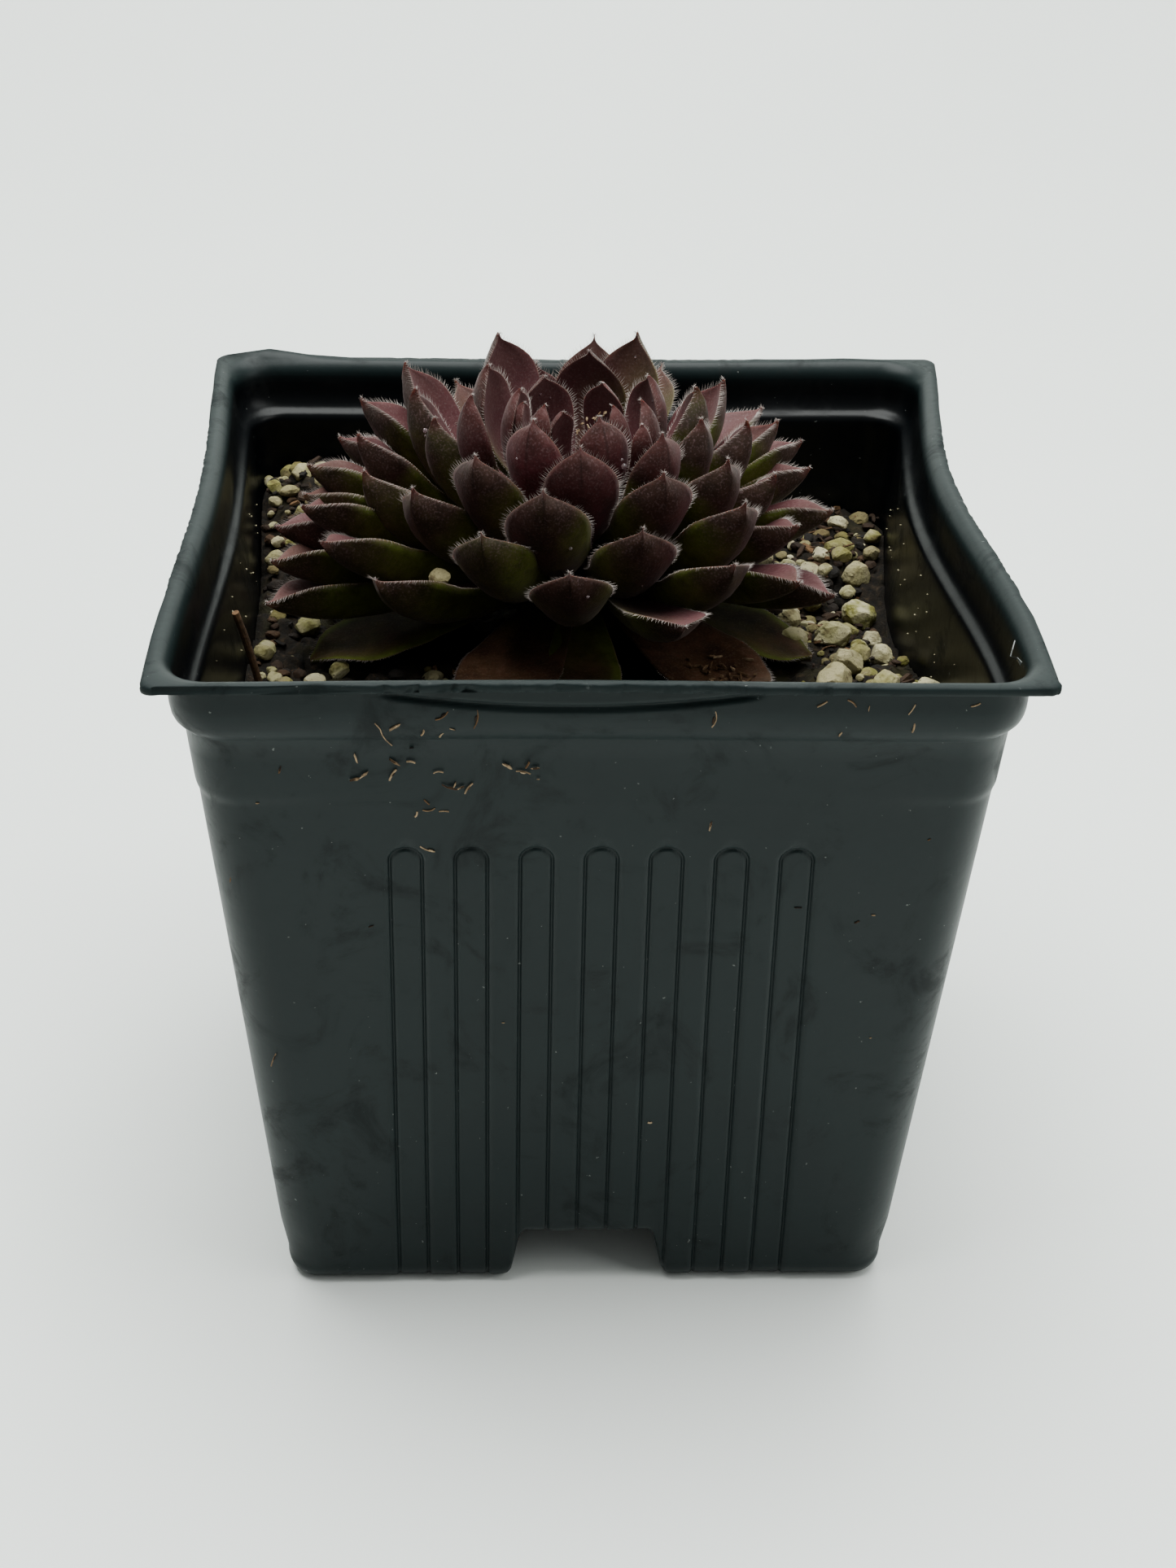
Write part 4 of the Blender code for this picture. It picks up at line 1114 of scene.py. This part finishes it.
drops = (
    (5, 5.0, 0.62, False, 0.32), (5, 4.1, 0.5, False, 0.14), (8, 3.4, -0.3, False, 0.12),
    (7, 3.2, 0.1, True, 0.17), (12, 2.6, -0.2, True, 0.2), (12, 3.6, 0.3, True, 0.15),
    (14, 2.4, 0.3, True, 0.22), (14, 3.1, 0.55, True, 0.14), (27, 3.4, 0.75, True, 0.26),
    (27, 4.2, 0.6, True, 0.2), (27, 5.3, 0.7, True, 0.16), (40, 5.0, 0.3, True, 0.3),
    (40, 6.2, 0.5, True, 0.2), (9, 2.2, 0.1, True, 0.16), (9, 2.9, -0.3, True, 0.13),
    (25, 2.6, 0.0, True, 0.16), (20, 3.5, 0.2, True, 0.14), (34, 3.0, 0.5, False, 0.16),
    (21, 6.6, 0.55, False, 0.2), (26, 6.8, 0.1, False, 0.15),
)


def buildDrops(leafFrames, material):
    pile = MeshPile()
    points, faces = ballShape(2)
    for number, back, across, above, radius in drops:
        handles, side, width, cup = leafFrames[number]
        share = 1.0 - back / (handles[3] - handles[0]).length
        ahead = curvePoint(handles, share + 0.02) - curvePoint(handles, share - 0.02)
        wide = between(tipOutline, back / width)
        hollow = cup * width * wide
        deep = plantShape["thickness"] * between(tipThickness, back / width)
        height = hollow * across * across + 0.12
        if not above:
            height = hollow - (deep + hollow) * (1.0 - across * across)
        centre = curvePoint(handles, share) + side * (0.5 * width * wide * across)
        centre += ahead.normalized().cross(side).normalized() * height
        pile.add([centre + point * radius for point in points], faces)
    pile.build("waterDrops", material)


# stones, chips and fibres

def ballShape(detail):
    work = bmesh.new()
    bmesh.ops.create_icosphere(work, subdivisions=detail, radius=1.0)
    points = [vert.co.copy() for vert in work.verts]
    faces = [tuple(vert.index for vert in face.verts) for face in work.faces]
    work.free()
    return points, faces


def addLump(pile, centre, size, draw, shape, tone, flat=0.8):
    # a stone broken along a few planes, with pitted faces
    points, faces = shape
    seed = Vector((draw.uniform(0, 90), draw.uniform(0, 90), draw.uniform(0, 90)))
    cuts = []
    for _ in range(7):
        cuts.append((Vector([draw.gauss(0, 1) for _ in range(3)]).normalized(), draw.uniform(0.62, 0.95)))
    stretch = Vector((1.0, draw.uniform(0.7, 1.0), draw.uniform(0.65, 0.9) * flat))
    turn = Matrix.Rotation(draw.uniform(0, 6.28), 3, "Z") @ Matrix.Rotation(draw.uniform(-0.5, 0.5), 3, "X")
    placed = []
    for point in points:
        bump = 1.0 + 0.16 * noise.noise(point * 1.5 + seed) + 0.07 * noise.noise(point * 4.0 + seed)
        moved = point * (bump + 0.035 * noise.noise(point * 10.0 + seed))
        for normal, limit in cuts:
            over = moved.dot(normal) - limit
            if over > 0:
                moved = moved - normal * over * 0.85
        placed.append(centre + turn @ (moved * stretch) * size)
    pile.add(placed, faces, [tone] * len(placed))


def addChip(pile, centre, length, width, thick, along, normal, draw, shade):
    # a thin five-sided flake
    across = normal.cross(along).normalized()
    outline = []
    for k in range(5):
        turn = math.radians(72.0 * k) + draw.uniform(-0.25, 0.25)
        reach = draw.uniform(0.7, 1.1)
        ahead = along * (0.5 * length * math.cos(turn) * reach)
        outline.append(ahead + across * (0.5 * width * math.sin(turn) * reach))
    low = [centre + place - normal * 0.5 * thick for place in outline]
    high = [centre + place * 0.85 + normal * thick * draw.uniform(0.3, 0.7) for place in outline]
    faces = [(4, 3, 2, 1, 0), (5, 6, 7, 8, 9)] + [(k, (k + 1) % 5, 5 + (k + 1) % 5, 5 + k) for k in range(5)]
    pile.add(low + high, faces, [(shade, 0.0, 0.0)] * 10)


def addFibre(pile, path, radius, shade, sides=6, endShade=None):
    rings = []
    tones = []
    last = len(path) - 1
    for k, place in enumerate(path):
        ahead = (path[min(k + 1, last)] - path[max(k - 1, 0)]).normalized()
        across = ahead.cross(Vector((0.31, 0.27, 0.91))).normalized()
        other = ahead.cross(across)
        size = radius * (1.0 + 0.18 * noise.noise(place * 0.9))
        turns = [math.tau * step / sides for step in range(sides)]
        rings.append([place + (across * math.cos(turn) + other * math.sin(turn)) * size for turn in turns])
        tones += [(shade if endShade is None or k < last else endShade, 0.0, 0.0)] * sides
    pile.add(*loftRings(rings), tones)


innerProfile = sorted((height, half) for half, _, height in innerRows())


def innerHalf(z):
    return between(innerProfile, z)


def insidePot(x, y, z, radius):
    # whether a round thing is clear of the dented walls
    reach = innerHalf(z) - radius - 0.25
    inX, inY = dentsBeside(x, y)
    return abs(x) + inX < reach and abs(y) + inY < reach


def underOldLeaf(x, y, margin):
    place = Vector((x, y, 0.0)) - stemCentre
    for azimuth, reach, width in plantShape["oldLeaves"]:
        out = direction(azimuth)
        if 0.0 < place.dot(out) < reach + margin and abs(place.dot(sideOf(out))) < 0.5 * width + margin:
            return True
    return math.hypot(x - stemCentre.x, y - stemCentre.y) < plantShape["ring"][1] + margin + 1.0


mixLook = {
    # across, back, height above the mix, radius
    "bigGrains": ((26.8, -11.6, 1.7, 2.7), (32.2, -13.4, 1.5, 2.0), (36.4, -14.6, 1.3, 1.5),
                  (22.8, 1.0, 1.4, 2.6), (29.0, -4.6, 1.2, 1.9), (32.6, 13.0, 1.2, 2.2),
                  (27.4, 15.5, 1.1, 2.1), (28.6, 5.0, 1.2, 2.3), (31.5, 27.0, 1.1, 2.0),
                  (24.0, 9.4, 0.9, 1.7), (33.4, -1.0, 1.0, 1.7), (33.0, 20.5, 1.0, 1.8),
                  (33.4, 6.6, 0.9, 1.5), (27.5, 22.5, 0.9, 1.6), (25.0, -19.5, 1.0, 1.7),
                  (-33.6, 31.0, 0.8, 1.5), (-31.5, 4.5, 1.0, 1.6), (-24.0, 35.0, 0.6, 1.3),
                  (-29.0, 33.5, 0.6, 1.2), (-27.5, -6.0, 0.9, 1.5), (-30.0, -8.5, 0.9, 1.4),
                  (-33.0, -18.5, 0.9, 1.4), (-30.5, -22.5, 0.9, 1.4)),
    "grains": 470,
    "grainSizes": (0.4, 1.6),
    "wallDust": 60,
    "dustSizes": (0.06, 0.2),
    # how many, and over which reach from the middle
    "crumbs": (1500, 38),
    "chips": (700, 38),
    "fibres": (90, 36),
    "chipLengths": (0.8, 3.4),
    "fibreLengths": (1.5, 5.0),
    "fibreLift": 0.5,
    "stick": ((-34.9, -13.6, 62.4), (-35.5, -14.6, 66.0), (-36.2, -15.6, 70.0), (-36.9, -16.3, 73.4),
              (-37.6, -16.9, 76.2)),
    "caughtGrain": (-16.4, -7.6, 75.9, 1.35),
}


def grainShare(x, y):
    # pumice shows most along the right side and on the heap at the back left
    right = ease((x - 18.0) / 8.0)
    heap = ease(1.3 - math.hypot(x + 31.0, y - 28.0) / 16.0)
    left = 0.45 * ease((-x - 24.0) / 8.0)
    return max(right, heap, left, 0.12)


def buildGrains(material):
    draw = random.Random(7)
    pile = MeshPile()
    fine = ballShape(4)
    middling = ballShape(3)
    coarse = ballShape(1)
    for x, y, rise, size in mixLook["bigGrains"]:
        centre = Vector((x, y, groundAt(x, y) + rise))
        addLump(pile, centre, size, draw, fine, (draw.uniform(0.45, 1.0), draw.uniform(0.1, 1.0), 0.0), 0.95)
    x, y, z, size = mixLook["caughtGrain"]
    addLump(pile, Vector((x, y, z)), size, draw, fine, (0.45, 0.0, 0.0), 0.95)
    placed = [(x, y, size) for x, y, _, size in mixLook["bigGrains"]]
    while len(placed) < mixLook["grains"]:
        x, y = draw.uniform(-38, 38), draw.uniform(-38, 38)
        size = draw.uniform(*mixLook["grainSizes"]) * draw.uniform(0.75, 1.2)
        z = groundAt(x, y)
        if draw.random() > grainShare(x, y) or not insidePot(x, y, z, size) or underOldLeaf(x, y, size + 0.3):
            continue
        if any(math.hypot(x - a, y - b) < 0.78 * (size + c) for a, b, c in placed):
            continue
        placed.append((x, y, size))
        tone = (draw.uniform(0.0, 1.0), max(draw.uniform(-0.3, 1.0), 0.0), 0.0)
        addLump(pile, Vector((x, y, z + size * draw.uniform(0.1, 0.45))), size, draw, middling, tone, 0.95)
    for _ in range(mixLook["wallDust"]):     # clinging to the inner walls
        side = draw.choice((-1, 1))
        spot = Vector((0.0, draw.uniform(-34, 30), draw.uniform(65.5, 73.0)))
        spot.x = side * (innerHalf(spot.z) - 0.05)
        addLump(pile, dented(spot), draw.uniform(*mixLook["dustSizes"]), draw, coarse, (0.9, 0.0, 0.0))
    pile.build("pumiceGrains", material, False)


def freePlaces(draw, kind, measure, clearance, lift=0.0):
    # random places on the mix, each with a drawn size, clear of the walls and of the old leaves
    count, reach = mixLook[kind]
    while count:
        x, y = draw.uniform(-reach, reach), draw.uniform(-reach, reach)
        size = measure()
        z = groundAt(x, y) + lift
        fromWall, fromLeaf = clearance(size)
        if insidePot(x, y, z, fromWall) and not underOldLeaf(x, y, fromLeaf):
            count -= 1
            yield x, y, z, size


def buildBark(material):
    draw = random.Random(19)
    pile = MeshPile()
    rough = ballShape(2)

    def crumbSize():
        return draw.uniform(0.3, 1.1) * draw.uniform(0.6, 1.3)

    for x, y, z, size in freePlaces(draw, "crumbs", crumbSize, lambda size: (size, 0.3)):
        shade = draw.choice((0.05, 0.15, 0.3, 0.45, 0.6))
        addLump(pile, Vector((x, y, z + 0.2 * size)), size, draw, rough, (shade, 0.0, 0.0))
    places = freePlaces(draw, "chips", lambda: draw.uniform(*mixLook["chipLengths"]),
                        lambda length: (0.5 * length, 0.4 * length))
    for x, y, z, length in places:
        normal = Vector((draw.gauss(0, 0.35), draw.gauss(0, 0.35), 1.0)).normalized()
        along = normal.cross(direction(draw.uniform(0, 360))).normalized()
        shade = draw.choice((0.05, 0.2, 0.4, 0.55, 0.65, 0.8))
        addChip(pile, Vector((x, y, z + draw.uniform(0.15, 0.6))), length,
                length * draw.uniform(0.25, 0.6), draw.uniform(0.18, 0.4), along, normal, draw, shade)
    places = freePlaces(draw, "fibres", lambda: draw.uniform(*mixLook["fibreLengths"]),
                        lambda length: (0.5 * length + 0.3, 0.5 * length), mixLook["fibreLift"])
    for x, y, z, length in places:
        along = direction(draw.uniform(0, 360)) + up * draw.uniform(-0.15, 0.25)
        bow = direction(draw.uniform(0, 360)) * draw.uniform(0.0, 0.6)
        path = [Vector((x, y, z)) + along * (t - 0.5) * length + bow * (1 - (2 * t - 1) ** 2)
                for t in (0.0, 0.25, 0.5, 0.75, 1.0)]
        addFibre(pile, path, draw.uniform(0.07, 0.16), draw.choice((0.5, 0.7, 0.85)), 5)
    stick = [Vector(place) for place in mixLook["stick"]]
    path = []
    for low, high in zip(stick, stick[1:]):
        path += [low.lerp(high, share) for share in (0.0, 0.33, 0.66)]
    addFibre(pile, path + [stick[-1]], 0.4, 0.62, 10, 0.8)
    pile.build("barkPieces", material, False)


# litter: flecks stuck to the front wall, bark on the right old leaf, the dry scrap in the
# heart, the torn film

litter = {
    # across, height, length, turn in degrees, shade
    "flecks": ((-15.6, 77.3, 1.2, 35, 0.8), (-12.3, 76.9, 1.6, 80, 0.8), (-20.2, 76.0, 1.5, 35, 0.9),
               (-17.5, 75.3, 0.6, 70, 0.9), (-15.5, 74.9, 0.7, 40, 1.0), (-14.6, 75.7, 0.6, -20, 0.95),
               (-24.1, 71.8, 1.1, 105, 0.95), (-23.3, 69.9, 1.2, 40, 0.92), (-24.3, 69.3, 1.1, 15, 0.88),
               (-20.3, 71.3, 1.3, -35, 0.85), (-20.5, 69.8, 1.1, 60, 0.95), (-18.7, 71.3, 0.7, -10, 0.95),
               (-18.6, 73.0, 0.5, 0, 0.1), (-14.9, 68.3, 1.3, -20, 0.6), (-14.4, 68.5, 0.8, 70, 0.9),
               (-13.8, 68.2, 0.9, 25, 0.95), (-13.0, 68.1, 1.1, 55, 0.9), (-16.0, 70.0, 0.8, 5, 0.95),
               (-17.0, 65.5, 1.0, 10, 0.85), (-15.5, 65.2, 0.8, 0, 0.9), (-17.2, 66.4, 0.6, -45, 0.8),
               (-9.1, 70.7, 1.2, -30, 0.95), (-7.6, 70.0, 1.2, -12, 0.9), (-6.4, 70.5, 1.1, 5, 0.92),
               (-7.2, 70.9, 0.6, 60, 0.8), (-6.1, 69.2, 0.4, 0, 1.0), (-18.3, 64.9, 0.5, 70, 0.95),
               (10.9, 77.0, 1.4, 80, 0.9), (11.3, 63.5, 1.3, 80, 0.95), (-33.9, 33.2, 1.3, 70, 0.85),
               (-23.1, 50.9, 0.7, 20, 0.5), (-31.6, 70.5, 0.9, 75, 0.8), (-17.2, 60.6, 1.3, -22, 0.95),
               (20.8, 53.2, 0.6, 0, 0.1), (23.4, 75.3, 0.8, 60, 0.9), (30.5, 76.2, 0.8, 80, 0.9),
               (21.4, 78.8, 0.9, 30, 0.9), (24.3, 78.9, 0.9, -40, 0.85), (26.0, 78.4, 0.7, 80, 0.9),
               (30.2, 78.3, 1.0, 60, 0.95), (36.4, 78.8, 0.8, 20, 0.9),
               (27.0, 51.5, 0.7, 30, 0.6), (28.6, 52.4, 0.5, 0, 0.9), (-37.2, 57.0, 0.6, 80, 0.8),
               (-34.0, 66.5, 0.4, 0, 0.9), (33.5, 62.0, 0.4, 30, 0.8), (6.5, 24.0, 0.35, 0, 1.0),
               (-9.5, 38.0, 0.35, 0, 1.0), (29.6, 36.0, 0.35, 0, 0.9)),
    "thread": ((-22.1, 76.5), (-21.6, 75.8), (-21.4, 74.9), (-21.1, 74.0), (-20.5, 73.3)),
    "leafBits": 60,
    "bitsLeaf": 4,
    "scraps": 12,
    "scrapFrom": (-1.7, -3.6, 91.2),
    "scrapTo": (1.5, -1.9, 92.9),
    "film": ((41.6, -32.8, 80.6), (41.1, -34.0, 80.4), (40.9, -35.2, 80.3), (41.3, -36.2, 80.5),
             (41.4, -37.6, 80.6)),
}
wallProfile = sorted((height, half) for half, _, height in outerRows() if 5.0 < height < 80.0)


def onFrontWall(x, z):
    return dented(Vector((x, -between(wallProfile, z) + fluteDepth(x, z), z)))


def addFlecks(pile, draw):
    outwards = Vector((0.0, -1.0, 0.08)).normalized()
    for x, z, length, turn, shade in litter["flecks"]:
        angle = math.radians(turn)
        along = Vector((math.cos(angle), 0.0, math.sin(angle)))
        along = (along - outwards * along.dot(outwards)).normalized()
        centre = onFrontWall(x, z) + outwards * 0.05
        across = outwards.cross(along)
        if draw.random() < 0.55:
            bow = draw.uniform(-0.22, 0.22) * length
            path = []
            for t in (0.0, 0.2, 0.4, 0.6, 0.8, 1.0):
                sag = across * (bow * (1.0 - (2.0 * t - 1.0) ** 2))
                path.append(centre + along * (length * 1.25 * (t - 0.5)) + sag)
            addFibre(pile, path, draw.uniform(0.06, 0.105), shade, 6)
        else:
            length *= 1.15
            width = length * draw.uniform(0.16, 0.3)
            addChip(pile, centre, length, width, 0.15, along, outwards, draw, shade)
        if length > 1.0:
            nearby = centre + along * draw.uniform(-0.4, 0.4) + outwards * 0.08
            shade = draw.choice((0.3, 0.6, 1.0))
            addChip(pile, nearby, 0.6 * length, 0.2, 0.12, along, outwards, draw, shade)
    thread = [onFrontWall(x, z) + outwards * 0.06 for x, z in litter["thread"]]
    addFibre(pile, thread, 0.06, 0.9, 5)


def buildLitter(material):
    draw = random.Random(31)
    pile = MeshPile()
    addFlecks(pile, draw)
    azimuth, reach, width = plantShape["oldLeaves"][litter["bitsLeaf"]]
    out = direction(azimuth)
    for _ in range(litter["leafBits"]):
        along = reach * draw.gauss(0.82, 0.07)
        across = width * draw.gauss(-0.02, 0.16)
        place = stemCentre + out * min(along, reach - 2.0) + sideOf(out) * across
        place.z = oldLeafHeight(place) + 0.36
        normal = Vector((draw.gauss(0, 0.3), draw.gauss(0, 0.3), 1.0)).normalized()
        tilt = normal.cross(direction(draw.uniform(0, 360))).normalized()
        addChip(pile, place, draw.uniform(0.5, 1.9), draw.uniform(0.2, 0.42), 0.2, tilt, normal, draw,
                draw.choice((0.66, 0.76, 0.82, 0.9)))
    start, end = Vector(litter["scrapFrom"]), Vector(litter["scrapTo"])
    for _ in range(litter["scraps"]):
        place = start.lerp(end, draw.random()) + Vector([draw.gauss(0, 0.22) for _ in range(3)])
        normal = Vector([draw.gauss(0, 1) for _ in range(3)]).normalized()
        along = normal.orthogonal().normalized()
        addChip(pile, place, draw.uniform(0.4, 0.8), 0.28, 0.12, along, normal, draw,
                draw.choice((0.7, 0.85, 0.9, 0.95)))
    pile.build("litter", material, False)


def buildFilm(material):
    pile = MeshPile()
    thick = Vector((0.09, 0.0, 0.0))
    rings = []
    for k, place in enumerate(litter["film"]):
        foot = Vector(place)
        head = foot + Vector((0.12 * math.sin(2.1 * k), 0.0, 0.26 + 0.14 * math.cos(1.7 * k)))
        rings.append([foot, foot + thick, head + thick, head])
    pile.add(*loftRings(rings))
    faceOutwards(pile.build("tornFilm", material, False))


# floor, light and camera

stageLook = {
    "floorColour": (0.85, 0.88, 0.855),
    "floorTints": ((0.83, 0.865, 0.835), (0.87, 0.895, 0.87)),
    "floorBend": (0.35, 0.3),      # where it starts to rise behind the pot, radius
    "world": (0.80, 0.84, 0.82),
    "worldStrength": 0.34,
    "lightColour": (0.965, 1.0, 0.975),
    "lightTarget": (0.0, 0.0, 0.05),
    # place, size and power
    "lights": {"topSoft": ((-0.03, 0.10, 0.85), (0.8, 0.7), 20.0),
               "frontSoft": ((0.60, -0.24, 0.52), (0.5, 0.5), 2.4)},
}


def buildStage():
    made = Finish("paleBoard", stageLook["floorColour"], 0.55)
    low, high = stageLook["floorTints"]
    mesh = bpy.data.meshes.new("paleBoard")
    mesh.materials.append(made.done(made.ramp(made.noise(6.0, 3.0), (0.3, low), (0.7, high))))
    start, radius = stageLook["floorBend"]
    profile = [(-1.2, 0.0), (0.0, 0.0), (start, 0.0)]
    for k in range(1, 13):
        turn = math.radians(7.5 * k)
        profile.append((start + radius * math.sin(turn), radius * (1 - math.cos(turn))))
    profile.append((start + radius, 1.6))
    count = len(profile)
    points = [(x, y, z) for x in (-1.6, 1.6) for y, z in profile]
    mesh.from_pydata(points, [], [(k, k + count, k + count + 1, k + 1) for k in range(count - 1)])
    for polygon in mesh.polygons:
        polygon.use_smooth = True
    linkObject("paleBoard", mesh)


def buildLights():
    world = bpy.data.worlds.new("softRoom")
    bpy.context.scene.world = world
    world.use_nodes = True
    back = world.node_tree.nodes["Background"]
    back.inputs["Color"].default_value = (*stageLook["world"], 1.0)
    back.inputs["Strength"].default_value = stageLook["worldStrength"]
    for name, (place, size, power) in stageLook["lights"].items():
        lamp = bpy.data.lights.new(name, "AREA")
        lamp.shape = "RECTANGLE"
        lamp.size, lamp.size_y = size
        lamp.energy = power
        lamp.color = stageLook["lightColour"]
        holder = linkObject(name, lamp)
        holder.location = place
        aim = Vector(stageLook["lightTarget"]) - Vector(place)
        holder.rotation_euler = aim.to_track_quat("-Z", "Y").to_euler()


cameraPlace = {
    "at": (-0.01095, -0.27977, 0.20387),
    "down": 29.419,
    "towardsRight": 2.342,
    "roll": 1.144,
    "lens": 63.53,
}


def buildCamera():
    down, yaw, roll = (math.radians(cameraPlace[key]) for key in ("down", "towardsRight", "roll"))
    ahead = Vector((math.sin(yaw) * math.cos(down), math.cos(yaw) * math.cos(down), -math.sin(down)))
    level = Vector((math.cos(yaw), -math.sin(yaw), 0.0))
    above = level.cross(ahead)
    right = math.cos(roll) * level + math.sin(roll) * above
    upright = math.cos(roll) * above - math.sin(roll) * level
    data = bpy.data.cameras.new("camera")
    data.sensor_width = 36.0
    data.lens = cameraPlace["lens"]
    data.clip_start = 0.01
    holder = linkObject("camera", data)
    turned = Matrix((right, upright, -ahead)).transposed().to_4x4()
    holder.matrix_world = Matrix.Translation(cameraPlace["at"]) @ turned
    bpy.context.scene.camera = holder


buildStage()
buildLights()
buildCamera()
print("stage, lights and camera")

buildPot()
buildFilm(clearFilm())
print("pot")

buildSoil(soilDark())
buildGrains(pumiceStone())
buildBark(barkBrown())
print("potting mix")

hairFinish = hairWhite()
rosetteMargins, leafFrames = buildRosette(leafSkin())
buildHairs("rosetteHairs", rosetteMargins, hairFinish, 3)
buildDrops(leafFrames, waterDrop())
print("rosette")

oldMargins = buildOldLeaves(leafSkin("oldLeafSkin", 0.75))
buildHairs("oldLeafHairs", oldMargins, hairFinish, 4)
buildLitter(barkBrown())
print("old leaves and litter")

stemBark = Finish("stemBark", (0.10, 0.07, 0.035), 0.85)
shade = stemBark.ramp(stemBark.noise(700.0), (0.35, (0.03, 0.02, 0.010)), (0.65, (0.11, 0.075, 0.035)))
ridges = stemBark.bump(stemBark.noise(900.0), 0.6, 0.0004)
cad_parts["stem"].material_slots[0].material = stemBark.done(shade, None, ridges)
print("stem")
